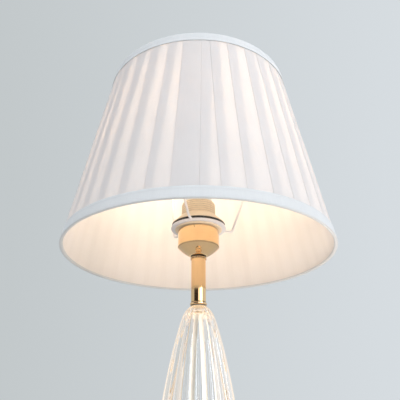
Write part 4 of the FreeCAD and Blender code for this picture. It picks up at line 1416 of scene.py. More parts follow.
@dataclass
class Lampholder:
    """Lampholder in its gold cup, with the ring and washer that hold the shade.

    Attributes:
        cup_cone_height: Height of the cup's cone.
        cup_cone_bulge: How far the cone bows outwards.
        cup_foot_radius: Radius of the cup's foot.
        cup_wall: Wall of the cup.
        cone_painted_shade: Painted shade that darkens the cone, from 0 to 1.
        edge_painted_shade: Painted shade that draws a dark line on the edge between the cone and the
            straight wall.
        flange_height: Thickness of the shell's flange.
        thread_pitch: Pitch of the outer thread.
        thread_depth: Depth of the outer thread.
        thread_start: Height above the flange where the thread begins.
        thread_crest: Radius over the outer thread.
        shell_wall: Wall of the shell under its thread.
        shell_lip: How far the shell's lip reaches in past that wall.
        skirt_radius: Radius of the shell's skirt inside the cup.
        skirt_height: Height of the skirt below the flange.
        washer_bore: Radius of the washer's hole.
        ring_bore: Radius of the shade ring's hole.
        ring_rim: Height of the shade ring's straight rim.
    """

    cup_cone_height: float = 10.2 * MM
    cup_cone_bulge: float = 0.9 * MM
    cup_foot_radius: float = 9.2 * MM
    cup_wall: float = 1 * MM
    cone_painted_shade: float = 0.24
    edge_painted_shade: float = 0.55
    flange_height: float = 1.2 * MM
    thread_pitch: float = 2.5 * MM
    thread_depth: float = 1.1 * MM
    thread_start: float = 4.5 * MM
    thread_crest: float = 19.3 * MM
    shell_wall: float = 2 * MM
    shell_lip: float = 1.8 * MM
    skirt_radius: float = 18.1 * MM
    skirt_height: float = 5 * MM
    washer_bore: float = 19.8 * MM
    ring_bore: float = 19.4 * MM
    ring_rim: float = 1.2 * MM

    def build(self, shop: Workshop) -> None:
        """Build the holder's visible pieces and dress the ones inside.

        Args:
            shop: The workshop.
        """
        shop.place(self.cup(), Body.STAND, Slot.GOLD, "holder_cup")
        shop.place(self.shell(), Body.STAND, Slot.BEIGE, "holder_shell")
        shop.place(self.washer(), Body.WASHER, Slot.BLACK, "clamp_washer")
        shop.place(self.ring(), Body.RING, Slot.BEIGE, "shade_ring")
        shop.dress(Slot.BEIGE, "holder_cap")
        shop.dress(Slot.CERAMIC, "holder_insert")
        shop.dress(Slot.BRASS, "holder_terminals", "screw_shell", "centre_contact")

    def cup(self) -> Object:
        """Straight cup on a bulging cone; painted shade darkens the cone and draws a dark line along the
        edge above it.

        Returns:
            The piece.
        """
        size = extent("holder_cup")
        cone_top = size.bottom + self.cup_cone_height
        start = Vector((self.cup_foot_radius, size.bottom))
        end = Vector((size.radius, cone_top))
        bow = Vector(((start.x + end.x) / 2, (start.y + end.y) / 2 - 2 * self.cup_cone_bulge))
        # Painted shade: the cone's points and the edge above it are marked to be painted dark.
        outside = bowed(start, bow, end, 14, self.cone_painted_shade)
        raised = 1.3 * self.cup_wall
        inside = [Corner(c.radius, c.height + raised, 0.0) for c in reversed(outside[:-1])]
        inner = size.radius - self.cup_wall
        corners = [
            Corner(ROD_HOLE, size.bottom), Corner(self.cup_foot_radius, size.bottom, 0.2 * MM),
            *outside,
            Corner(size.radius, cone_top, 0.5 * MM, self.edge_painted_shade),
            Corner(size.radius, size.top, 0.3 * MM), Corner(inner, size.top, 0.2 * MM),
            Corner(inner, cone_top + self.cup_wall, 0.3 * MM),
            *inside,
            Corner(ROD_HOLE, size.bottom + self.cup_wall),
        ]
        return turned("holder_gold_cup", corners, columns=192)

    def shell(self) -> Object:
        """Flanged shell with a real helical thread that fades in at its start, with painted shade in its
        grooves.

        Returns:
            The piece.
        """
        size = extent("holder_shell")
        root = self.thread_crest - self.thread_depth
        inner = root - self.shell_wall
        lip = inner - self.shell_lip
        flange_bottom = size.bottom + self.skirt_height
        flange_top = flange_bottom + self.flange_height
        begin, end = flange_top + self.thread_start, size.top - 1 * MM
        rows = int((end - begin) / (0.22 * MM))
        thread = [Corner(root, height, 0.0) for height in np.linspace(begin, end, rows)]

        def helix(section: Array, angles: Array) -> Array:
            """Raise the thread's ridge on its part of the wall.

            Args:
                section: Points of the section.
                angles: Angles in radians.

            Returns:
                The radius added at each point.
            """
            height = section[:, 1:2]
            on_thread = (np.abs(section[:, :1] - root) < 1e-6) & (height >= begin) & (height <= end)
            climb = height - begin - self.thread_pitch * angles / FULL_TURN
            wave = np.sin(math.pi * (climb / self.thread_pitch % 1.0)) ** 0.45
            fade_in = np.clip((climb + self.thread_pitch) / (0.8 * self.thread_pitch), 0.0, 1.0)
            fade_out = np.clip((end - height) / (0.5 * self.thread_pitch), 0.0, 1.0)
            return on_thread * wave * fade_in * fade_out * self.thread_depth

        corners = [
            Corner(inner, size.bottom), Corner(self.skirt_radius, size.bottom),
            Corner(self.skirt_radius, flange_bottom), Corner(size.radius, flange_bottom, 0.35 * MM),
            Corner(size.radius, flange_top, 0.35 * MM), Corner(root, flange_top, 0.2 * MM),
            *thread,
            Corner(root, size.top, 0.5 * MM), Corner(lip, size.top, 0.3 * MM),
            Corner(lip, size.top - 2 * MM, 0.2 * MM), Corner(inner, size.top - 2 * MM, 0.2 * MM),
        ]
        # The groove depth marks the thread's grooves for painted shade.
        return turned(
            "holder_threaded_shell", corners, columns=240, swell=helix, groove_depth=self.thread_depth
        )

    def washer(self) -> Object:
        """Black washer under the shade ring."""
        size = extent("clamp_washer")
        return turned("clamp_black_washer", band(size, self.washer_bore, 0.5 * MM, 0.25 * MM))

    def ring(self) -> Object:
        """Cone-shaped ring that screws down on the shade, with shallow finger grooves round its foot.

        Returns:
            The piece.
        """
        size = extent("shade_ring")
        def grooves(section: Array, angles: Array) -> Array:
            """Sink 24 finger grooves into the foot."""
            share = np.clip((section[:, :1] - 26 * MM) / (3 * MM), 0.0, 1.0)
            return -share * np.clip(np.cos(angles * 24) - 0.6, 0.0, 1.0) * 0.5 * MM

        corners = [
            Corner(self.ring_bore, size.bottom, 0.3 * MM), Corner(size.radius, size.bottom, 0.3 * MM),
            Corner(size.radius, size.bottom + self.ring_rim, 0.4 * MM),
            Corner(self.ring_bore + 1.5 * MM, size.top, 0.5 * MM),
            Corner(self.ring_bore, size.top, 0.4 * MM),
        ]
        return turned("shade_cone_ring", corners, columns=288, swell=grooves)


# Bulb


@dataclass
class Bulb:
    """Lit bulb with a screw cap.

    Attributes:
        thread_depth: Depth of the cap's thread.
        thread_pitch: Pitch of the cap's thread.
        thread_crest: Radius over that thread.
        dome_wall: Wall of the opal dome.
        housing_neck: Radius of the housing just above the cap.
        housing_radius: Radius of the housing under the dome.
    """

    thread_depth: float = 0.9 * MM
    thread_pitch: float = 3.6 * MM
    thread_crest: float = 13.15 * MM
    dome_wall: float = 1.2 * MM
    housing_neck: float = 14.2 * MM
    housing_radius: float = 28.5 * MM

    def build(self, shop: Workshop) -> None:
        """Build the bulb's pieces.

        Args:
            shop: The workshop.
        """
        shop.place(self.cap(), Body.BULB, Slot.NICKEL, "bulb_cap")
        shop.place(self.housing(), Body.BULB, Slot.WHITE, "bulb_housing")
        shop.place(self.dome(), Body.BULB, Slot.OPAL, "bulb_dome")
        shop.place(self.insulator(), Body.BULB, Slot.BLACK_GLASS, "bulb_insulator")
        shop.place(self.tip(), Body.TIP, Slot.SOLDER, "bulb_tip")

    def cap(self) -> Object:
        """Nickel cap with a rolled helical thread.

        Returns:
            The piece.
        """
        size = extent("bulb_cap")
        root = self.thread_crest - self.thread_depth
        rows = int((size.top - size.bottom) / (0.25 * MM))
        end = size.top - 2.2 * MM
        heights = np.linspace(size.bottom, size.top, rows)

        def rolled(section: Array, angles: Array) -> Array:
            """Raise the rolled thread on the cap's wall.

            Args:
                section: Points of the section.
                angles: Angles in radians.

            Returns:
                The radius added at each point.
            """
            height = section[:, 1:2]
            on_wall = section[:, :1] > root - 1e-6
            climb = height - size.bottom + self.thread_pitch * (1 - angles / FULL_TURN)
            wave = 0.5 - 0.5 * np.cos(FULL_TURN * climb / self.thread_pitch)
            fade_in = np.clip((height - size.bottom) / MM, 0.0, 1.0)
            fade_out = np.clip((end - height) / self.thread_pitch, 0.0, 1.0)
            return on_wall * wave * fade_in * fade_out * self.thread_depth * 0.98

        corners = [
            Corner(0.0, size.bottom, 0.0),
            *[Corner(root, height, 0.0) for height in heights],
            Corner(0.0, size.top, 0.0),
        ]
        return turned("bulb_screw_cap", corners, closed=False, columns=180, swell=rolled)

    def housing(self) -> Object:
        """White housing that flares from the cap to the dome, with shallow cooling ribs.

        Returns:
            The piece.
        """
        bottom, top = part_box("bulb_cap")[1][2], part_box("bulb_dome")[0][2]
        start, end = Vector((self.housing_neck, bottom)), Vector((self.housing_radius, top))
        pull = Vector((self.housing_neck + 4 * MM, bottom + (top - bottom) * 0.55))
        side = [Corner(place.x, place.y, 0.0) for place in bent(start, pull, end, np.linspace(0.0, 1.0, 30))]

        def ribs(section: Array, angles: Array) -> Array:
            """Sink the grooves between the cooling ribs.

            Args:
                section: Points of the section.
                angles: Angles in radians.

            Returns:
                The radius added at each point.
            """
            share = np.clip((section[:, 1:2] - bottom) / (top - bottom), 0.0, 1.0)
            amount = np.clip(np.sin(math.pi * np.clip(share * 1.15 - 0.05, 0.0, 1.0)), 0.0, 1.0)
            amount = amount * (section[:, :1] > self.housing_neck * 0.99)
            return -amount * (0.5 - 0.5 * np.cos(angles * 20)) ** 3 * 0.7 * MM

        corners = [Corner(0.0, bottom, 0.0), *side, Corner(0.0, top, 0.0)]
        return turned("bulb_white_housing", corners, closed=False, columns=240, swell=ribs)

    def dome(self) -> Object:
        """Opal dome, a half sphere on a shallow flare.

        Returns:
            The piece.
        """
        low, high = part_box("bulb_dome")
        radius, foot = high[0], low[2]
        reach, centre = radius - self.dome_wall, high[2] - radius
        corners = [
            Corner(0.0, high[2] - self.dome_wall, 0.0),
            *arc(reach, centre, np.linspace(math.pi / 2, 0.0, 20)[1:]),
            Corner(self.housing_radius - self.dome_wall, foot, 0.0), Corner(self.housing_radius, foot, 0.0),
            Corner(self.housing_radius + 0.9 * MM, foot + 6 * MM, 0.0),
            *arc(radius, centre, np.linspace(0.0, math.pi / 2, 28)),
        ]
        return turned("bulb_opal_dome", corners, closed=False, columns=128)

    def insulator(self) -> Object:
        """Black glass between the cap and the tip.

        Returns:
            The piece.
        """
        size = extent("bulb_insulator")
        corners = [
            Corner(0.0, size.bottom, 0.0), Corner(4.8 * MM, size.bottom, 0.3 * MM),
            Corner(size.radius, size.top, 0.4 * MM), Corner(0.0, size.top, 0.0),
        ]
        return turned("bulb_black_insulator", corners, closed=False, columns=96)

    def tip(self) -> Object:
        """Solder tip, a low uneven blob.

        Returns:
            The piece.
        """
        size = extent("bulb_tip")
        def uneven(section: Array, angles: Array) -> Array:
            """Draw the blob in unevenly."""
            return -np.abs(drift(angles, 3, 3))[None] * 0.15 * section[:, :1]

        corners = [
            Corner(0.0, size.bottom, 0.0), Corner(size.radius - 1.2 * MM, size.bottom, 0.6 * MM),
            Corner(size.radius, size.bottom + 1 * MM, 0.5 * MM), Corner(size.radius, size.top, 0.1 * MM),
            Corner(0.0, size.top, 0.0),
        ]
        return turned("bulb_solder_tip", corners, closed=False, columns=72, swell=uneven)


# Shade


@dataclass
class ShadeCone:
    """The cone that the shade's layers follow: outer face of its binding tape.

    Attributes:
        bottom_radius: Radius at the lower rim.
        top_radius: Radius at the upper rim.
        bottom: Height of the lower rim above the table.
        top: Height of the upper rim.
    """

    bottom_radius: float = 150 * MM
    top_radius: float = 107.6 * MM
    bottom: float = field(default_factory=lambda: extent("bottom_trim").bottom)
    top: float = field(default_factory=lambda: extent("top_trim").top)

    def radius(self, height: float) -> float:
        """Radius of the cone at a height above the table."""
        share = (height - self.bottom) / (self.top - self.bottom)
        return self.bottom_radius + (self.top_radius - self.bottom_radius) * share

    def heights(self, margin: float, count: int) -> Array:
        """Even heights between the rims, kept a margin from both."""
        return np.linspace(self.bottom + margin, self.top - margin, count)

    def slant(self) -> float:
        """Slanted length for each metre of height."""
        rise = self.top - self.bottom
        return math.hypot(rise, self.bottom_radius - self.top_radius) / rise


@dataclass
class ShadeFrame:
    """White wire frame of the shade: flat ring, three arms and the two rim rings.

    Attributes:
        cone: The shade's cone.
        arm_azimuths: Where the arms leave the ring, in degrees.
        lean: How far an arm's top lies round from its foot, in degrees.
        arm_radius: Radius of the arms' wire.
        foot_length: How far an arm runs level before it bends up.
        bend: Radius of that bend.
        fitter_bore: Radius of the flat ring's hole.
    """

    cone: ShadeCone
    arm_azimuths: tuple[float, ...] = (-15.0, 105.0, 225.0)
    lean: float = -20.0
    arm_radius: float = 1.3 * MM
    foot_length: float = 9 * MM
    bend: float = 5 * MM
    fitter_bore: float = 20.4 * MM

    def build(self, shop: Workshop) -> None:
        """Build the ring and arms, and the rim rings.

        Args:
            shop: The workshop.
        """
        ring = extent("fitter_ring")
        shop.place(self.fitter(ring), Body.SHADE, Slot.POWDER_COAT, "fitter_ring")
        for number, azimuth in enumerate(self.arm_azimuths):
            arm = self.arm(f"shade_arm_{number}", math.radians(azimuth), ring)
            shop.place(arm, Body.SHADE, Slot.POWDER_COAT, "gimbal_arms")
        for node in ("top_ring", "bottom_ring"):
            shop.place(self.rim_ring(node), Body.SHADE, Slot.POWDER_COAT, node)

    def fitter(self, size: Extent) -> Object:
        """Flat ring that sits on the lampholder's flange."""
        return turned("shade_fitter_ring", band(size, self.fitter_bore, 0.5 * MM, 0.3 * MM), columns=192)

    def arm(self, name: str, azimuth: float, ring: Extent) -> Object:
        """One arm: welded to the ring, level for a short way, then straight up to the top ring, leaning.

        Args:
            name: Name of the arm.
            azimuth: Where it leaves the ring, in radians.
            ring: Size of the flat ring.

        Returns:
            The arm.
        """
        level = (ring.bottom + ring.top) / 2
        low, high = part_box("top_ring")
        target_height = (low[2] + high[2]) / 2
        target = high[0] - (high[2] - low[2]) - self.arm_radius
        knee = Vector(towards(azimuth, ring.radius + self.foot_length, level))
        end = Vector(towards(azimuth + math.radians(self.lean), target, target_height))
        start = Vector(towards(azimuth, ring.radius - 0.6 * MM, level))
        rise = (end - knee).normalized()
        reach = self.bend / math.tan((start - knee).angle(rise) / 2)
        run_in, run_out = knee + (start - knee).normalized() * reach, knee + rise * reach
        path = np.array([
            *(start.lerp(run_in, share) for share in (0.0, 0.35, 0.7)),
            *bent(run_in, knee, run_out, np.linspace(0.0, 1.0, 12)),
            *(run_out.lerp(end, share) for share in np.linspace(0.0, 1.0, 24)[1:]),
        ])
        run = lengths(path)
        weld = 0.5 * MM * np.exp(-((run / (1.6 * MM)) ** 2))
        weld += 0.4 * MM * np.exp(-(((run[-1] - run) / (1.8 * MM)) ** 2))
        radii = self.arm_radius + np.minimum(weld, 0.3 * MM)
        radii[0] = ring.top - level
        return tube(name, path, radii)

    def rim_ring(self, node: str) -> Object:
        """Round wire ring inside a rim.

        Args:
            node: The CAD node that the ring stands for.

        Returns:
            The piece.
        """
        low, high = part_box(node)
        wire = (high[2] - low[2]) / 2
        middle = high[0] - wire
        level = (low[2] + high[2]) / 2
        section = arc(wire, level, np.linspace(0.0, FULL_TURN, 16, endpoint=False), middle)
        return turned(f"shade_{node}", section, columns=192)


@dataclass
class PleatedCover:
    """Knife-pleated cloth: each face starts at a fold on its left and slips under the next fold.

    Attributes:
        cone: The shade's cone.
        front_folds: Azimuths of the folds at the front in degrees, each at the lower and the upper rim.
        pleat_count: Pleats in the full turn.
        tuck: Width of cloth folded under at the lower rim, on each side of the inner fold.
        tuck_spread: How much that width differs between pleats.
        crest: Inset of the outer folds from the tape's outer face.
        dip: Inset of a face where it slips under the next fold.
        deepest: Inset of the innermost layer.
        edge_distance: Distance of the cloth's edges from the rims.
        rows: Steps from rim to rim.
        seam_fold: Which of the front folds covers the seam.
        seam_rise: How much further out that fold lies.
        seam_lift: How much further out the face that slips under it ends.
        fullest: Widest tuck as a share of the face above it.
        belly: How far a face bows outwards.
        ripple: Depth of its slow ripples from rim to rim.
        inner_turn: Radius of the cloth's turn at the inner fold.
        outer_turn: Radius of its turn at the outer fold.
        layer_gap: Inset of the layer just behind a fold.
    """

    cone: ShadeCone
    front_folds: tuple[tuple[float, float], ...] = (
        (-57.5, -56.5), (-47.9, -49.1), (-39.1, -37.8), (-29.0, -28.0), (-19.0, -16.9), (-9.7, -8.6),
        (0.2, 1.8), (7.8, 6.4), (16.8, 16.5), (26.9, 27.6), (36.1, 36.4), (45.2, 47.3),
    )
    pleat_count: int = 38
    tuck: float = 8.2 * MM
    tuck_spread: float = 1.3 * MM
    crest: float = 0.80 * MM
    dip: float = 1.18 * MM
    deepest: float = 1.62 * MM
    edge_distance: float = 3.4 * MM
    rows: int = 36
    seam_fold: int = 6
    seam_rise: float = 0.22 * MM
    seam_lift: float = 0.35 * MM
    fullest: float = 0.97
    belly: float = 0.16 * MM
    ripple: float = 0.06 * MM
    inner_turn: float = 0.22 * MM
    outer_turn: float = 0.19 * MM
    layer_gap: float = 0.38 * MM

    def folds(self) -> Array:
        """Azimuths of the folds in radians at both rims, with the first fold again at the end.

        Returns:
            A row for each fold, with its two azimuths.
        """
        chance = np.random.default_rng(38)
        front = np.array(self.front_folds)
        rest = self.pleat_count - len(front)
        shares = (np.arange(rest) + 1) / (rest + 1)
        behind = front[-1] + shares[:, None] * (front[0] + 360.0 - front[-1])
        behind += chance.normal(0.0, 0.35, (rest, 1)) + chance.normal(0.0, 0.25, (rest, 2))
        return np.radians(np.vstack([front, behind, front[:1] + 360.0]))

    def build(self, shop: Workshop) -> None:
        """Args:
            shop: The workshop.
        """
        cover, width, length = self.cloth()
        shop.place(cover, Body.SHADE, Slot.PLEATS, "shade_cover")

    def cloth(self) -> tuple[Object, float, float]:
        """Lay the cloth pleat by pleat.

        Returns:
            The object, and the width and length of the flat cloth.
        """
        chance = np.random.default_rng(5)
        folds = self.folds()
        tucks = self.tuck + chance.uniform(-1.0, 1.0, self.pleat_count) * self.tuck_spread
        leans = chance.uniform(-1.0, 1.0, self.pleat_count) * 0.8 * MM
        heights = self.cone.heights(self.edge_distance, self.rows)
        rows = [self.outline(height, folds, tucks, leans) for height in heights]
        run = lengths(rows[self.rows // 2])
        up = (heights - heights[0]) * self.cone.slant()
        flat = flat_map(run, up)
        widths = [lengths(row)[-1] for row in rows]
        cloth = grid_mesh("pleated_cover", np.array(rows), flat, around=False)
        return cloth, float(np.mean(widths)), float(up[-1])

    def outline(self, height: float, folds: Array, tucks: Array, leans: Array) -> Array:
        """Line of the cloth at one height, from the first fold round to the same fold again.

        Args:
            height: Height above the table.
            folds: Azimuths of the folds at both rims.
            tucks: Width tucked under at each fold at the lower rim.
            leans: How much wider each tuck is at the upper rim than its share.

        Returns:
            Points of the line.
        """
        share = (height - self.cone.bottom) / (self.cone.top - self.cone.bottom)
        rim = self.cone.radius(height)
        azimuths = folds[:, 0] + (folds[:, 1] - folds[:, 0]) * share
        taper = (self.cone.bottom_radius - rim) * FULL_TURN / self.pleat_count / 2
        line = []
        for index in range(self.pleat_count):
            start, end = azimuths[index], azimuths[index + 1]
            following = (index + 1) % self.pleat_count
            room = (azimuths[index + 2] if index + 2 < len(azimuths) else end + (end - start)) - end
            wide = (tucks[following] + leans[following] * share + taper) / rim
            if index == self.seam_fold - 2:
                wide = self.fullest * room
            inner = end + min(wide, self.fullest * room)
            crest = self.crest - (self.seam_rise if index == self.seam_fold else 0.0)
            dip = self.dip - (self.seam_lift if index == self.seam_fold - 1 else 0.0)
            line += self.pleat(height, rim, (start, end, inner), (crest, dip), index)
        line.append(towards(azimuths[0] + FULL_TURN, rim - self.crest, height))
        return np.array(line)

    def pleat(
        self,
        height: float,
        rim: float,
        azimuths: tuple[float, float, float],
        insets: tuple[float, float],
        index: int,
    ) -> list[Place]:
        """Points of one pleat: its face, the tuck under the next fold, and the way back to that fold.

        Args:
            height: Height above the table.
            rim: Radius of the tape's outer face there.
            azimuths: The pleat's own fold, the next fold and the inner fold.
            insets: Inset of its fold and of the face's far end.
            index: Number of the pleat, which seeds its unevenness.

        Returns:
            The points, without the next fold itself.
        """
        start, end, inner = azimuths
        crest, dip = insets
        wave = self.ripple * math.sin(height * 60 + index * 2.1)
        points = []
        for share in (0.0, 0.012, 0.03, 0.07, 0.15, 0.26, 0.38, 0.5, 0.62, 0.74, 0.86, 0.95, 1.0):
            belly = self.belly * math.sin(math.pi * share)
            ease = min(1.0, share / 0.03) ** 0.5
            inset = crest + (dip - crest) * share * ease - belly + wave * math.sin(math.pi * share)
            points.append(towards(start + (end - start) * share, rim - inset, height))
        for share in (0.3, 0.6, 0.9):
            inset = dip + (self.deepest - dip) * share
            points.append(towards(end + (inner - end) * share, rim - inset, height))
        turn, fold = self.inner_turn, self.outer_turn
        middle = self.deepest - turn
        for angle in (-60, -20, 20, 60):
            bend = math.radians(angle)
            onward = turn * math.cos(bend) / rim
            points.append(towards(inner + onward, rim - middle + turn * math.sin(bend), height))
        back, front = self.deepest - 2 * turn, self.crest + self.layer_gap
        for share in (0.9, 0.7, 0.45, 0.2, 0.06):
            inset = front + (back - front) * share
            points.append(towards(end + (inner - end) * share, rim - inset, height))
        for angle in (80, 40, 0, -40):
            bend = math.radians(angle)
            inset = self.crest + fold + fold * math.sin(bend)
            points.append(towards(end - fold * math.cos(bend) / rim, rim - inset, height))
        return points


@dataclass
class ShadeLining:
    """Smooth lining inside the pleats, one sheet with a lapped seam at the back, painted darker as painted
    shade where the cover lies three deep behind it.

    Attributes:
        cone: The shade's cone.
        cover: The pleated cover behind it, whose folds press through.
        press: Depth by which they do.
        inset: Inset of the lining from the tape's outer face.
        lap: Width of the seam's lap.
        seam_azimuth: Where the seam lies, in degrees.
        edge_distance: Distance of its edges from the rims.
    """

    cone: ShadeCone
    cover: PleatedCover
    press: float = 0.09 * MM
    inset: float = 3.05 * MM
    lap: float = 9 * MM
    seam_azimuth: float = 152.0
    edge_distance: float = 2 * MM

    def build(self, shop: Workshop) -> None:
        """Build the lining.

        Args:
            shop: The workshop.
        """
        lining, flat, area = self.cloth()
        shop.place(lining, Body.SHADE, Slot.LINING, "shade_liner")

    def cloth(self) -> tuple[Object, tuple[float, float], float]:
        """Lay the lining.

        Returns:
            The object, its flat width and length, and its flat area.
        """
        turn = FULL_TURN + self.lap / self.cone.radius((self.cone.bottom + self.cone.top) / 2)
        angles = np.linspace(0.0, turn, 720)
        heights = self.cone.heights(self.edge_distance, 30)
        lift = 0.22 * MM * np.clip((angles - FULL_TURN) / 0.02 + 1.0, 0.0, 1.0)
        slack = drift(angles, 11, 6) * 0.08 * MM
        azimuth = math.radians(self.seam_azimuth) + angles
        rows, painted_shade_rows = [], []
        for height in heights:
            share = (height - heights[0]) / (heights[-1] - heights[0])
            belly = math.sin(math.pi * share)
            layered = self.layered(azimuth, share)
            painted_shade_rows.append(layered)
            radius = self.cone.radius(height) - self.inset - lift
            radius = radius + slack * belly - layered * self.press * belly
            rows.append(places_at(azimuth, radius, height))
        up = (heights - heights[0]) * self.cone.slant()
        wide = turn * (self.cone.radius(heights[0]) - self.inset)
        narrow = turn * (self.cone.radius(heights[-1]) - self.inset)
        flat = flat_map(angles / turn * wide, up)
        # The tuck mask goes into the edge values, where the lining's finish paints it as painted shade.
        lining = grid_mesh("shade_lining", np.array(rows), flat, around=False, edge=np.array(painted_shade_rows))
        return lining, (float(wide), float(up[-1])), float((wide + narrow) / 2 * up[-1])

    def layered(self, azimuth: Array, share: float) -> Array:
        """Where the cover behind the lining lies three deep.

        Args:
            azimuth: Azimuths in radians.
            share: Height as a share from the lower to the upper rim.

        Returns:
            1 behind a tuck, fading to 0 behind a single layer.
        """
        folds = self.cover.folds()
        folds = np.sort((folds[:-1, 0] + (folds[:-1, 1] - folds[:-1, 0]) * share) % FULL_TURN)
        folds = np.concatenate([folds[-1:] - FULL_TURN, folds, folds[:1] + FULL_TURN])
        place = azimuth % FULL_TURN
        before = np.searchsorted(folds, place, side="right") - 1
        past = (place - folds[before]) / (folds[before + 1] - folds[before])
        tuck = 0.36 + 0.3 * share
        return np.clip(past / 0.05, 0.0, 1.0) * np.clip((tuck - past) / 0.12 + 0.5, 0.0, 1.0)


class Rim(Enum):
    """The shade's two rims; the value points from the rim into the shade."""

    BOTTOM = 1
    TOP = -1


@dataclass
class BindingTape:
    """Tape folded round a rim: a band outside, a turn over the rim and a lip inside.

    Attributes:
        cone: The shade's cone.
        rim: Which rim it binds.
        width: Width of the band outside.
        lip: Height of the lip inside.
        lip_inset: Inset of the lip from the band's outer face.
        hem: Width of the hem folded under along the band's edge.
        lap: Width of its lapped end.
        seam_azimuth: Where the lapped end lies, in degrees.
    """

    cone: ShadeCone
    rim: Rim
    width: float = 12.8 * MM
    lip: float = 2.2 * MM
    lip_inset: float = 3.75 * MM
    hem: float = 2.4 * MM
    lap: float = 8 * MM
    seam_azimuth: float = 160.0

    def build(self, shop: Workshop) -> None:
        """Build the tape.

        Args:
            shop: The workshop.
        """
        node = f"{self.rim.name.lower()}_trim"
        tape, flat = self.cloth(f"shade_{self.rim.name.lower()}_tape")
        shop.place(tape, Body.SHADE, Slot.TAPE, node)

    def section(self) -> Array:
        """Distances from the rim and insets along the tape, from its hem to the lip's end.

        Returns:
            Points as (distance, inset).
        """
        line = [
            (self.width - self.hem, 0.70 * MM), (self.width - 0.6 * MM, 0.70 * MM),
            (self.width - 0.15 * MM, 0.58 * MM), (self.width, 0.36 * MM),
            (self.width - 0.12 * MM, 0.14 * MM), (self.width - 0.6 * MM, 0.02 * MM),
            (self.width - self.hem, 0.0),
            (self.width - self.hem - 0.6 * MM, 0.13 * MM), (self.width - self.hem - 1.6 * MM, 0.16 * MM),
            (self.width * 0.5, 0.15 * MM), (self.width * 0.3, 0.12 * MM),
            (1.6 * MM, 0.08 * MM),
        ]
        centre, radius = (0.15 * MM + self.lip_inset) / 2, (self.lip_inset - 0.15 * MM) / 2
        for angle in np.linspace(0.0, math.pi, 9):
            depth = 1.1 * MM * (1 - math.sin(angle))
            line.append((depth, centre - radius * math.cos(angle)))
        line += [(self.lip * share, self.lip_inset + 0.05 * MM) for share in (0.4, 0.7, 1.0)]
        return np.array(line)

    def cloth(self, name: str) -> tuple[Object, tuple[float, float]]:
        """Lay the tape.

        Args:
            name: Name of the object.

        Returns:
            The object, and its flat length and width.
        """
        rim_height = self.cone.bottom if self.rim is Rim.BOTTOM else self.cone.top
        turn = FULL_TURN + self.lap / self.cone.radius(rim_height)
        angles = np.linspace(0.0, turn, 420)
        azimuth = math.radians(self.seam_azimuth) + angles
        lift = 0.25 * MM * np.clip((angles - FULL_TURN) / 0.015 + 1.0, 0.0, 1.0)
        pull = drift(azimuth, 21 + self.rim.value, 8) * 0.12 * MM
        line = self.section()
        rows = []
        for distance, inset in line:
            held = np.clip(distance / self.width, 0.0, 1.0)
            height = rim_height + self.rim.value * (distance + pull * held)
            outside = inset < self.lip_inset / 2
            radius = self.cone.radius(height) - inset + (lift if outside else 0.0) - 0.1 * MM
            rows.append(places_at(azimuth, radius, height))
        run = lengths(line)
        flat = flat_map(angles * self.cone.radius(rim_height), run)
        tape = grid_mesh(name, np.array(rows), flat, around=False)
        mean_radius = self.cone.radius(rim_height + self.rim.value * self.width / 3) - 0.8 * MM
        return tape, (float(turn * mean_radius), float(run[-1]))


@dataclass
class Shade:
    """The whole shade: frame, pleated cover, lining and tapes."""

    cone: ShadeCone = field(default_factory=ShadeCone)

    def build(self, shop: Workshop) -> None:
        """Build the shade's sub-assemblies.

        Args:
            shop: The workshop.
        """
        cover = PleatedCover(self.cone)
        ShadeFrame(self.cone).build(shop)
        cover.build(shop)
        ShadeLining(self.cone, cover).build(shop)
        for rim in Rim:
            BindingTape(self.cone, rim).build(shop)


# Surroundings


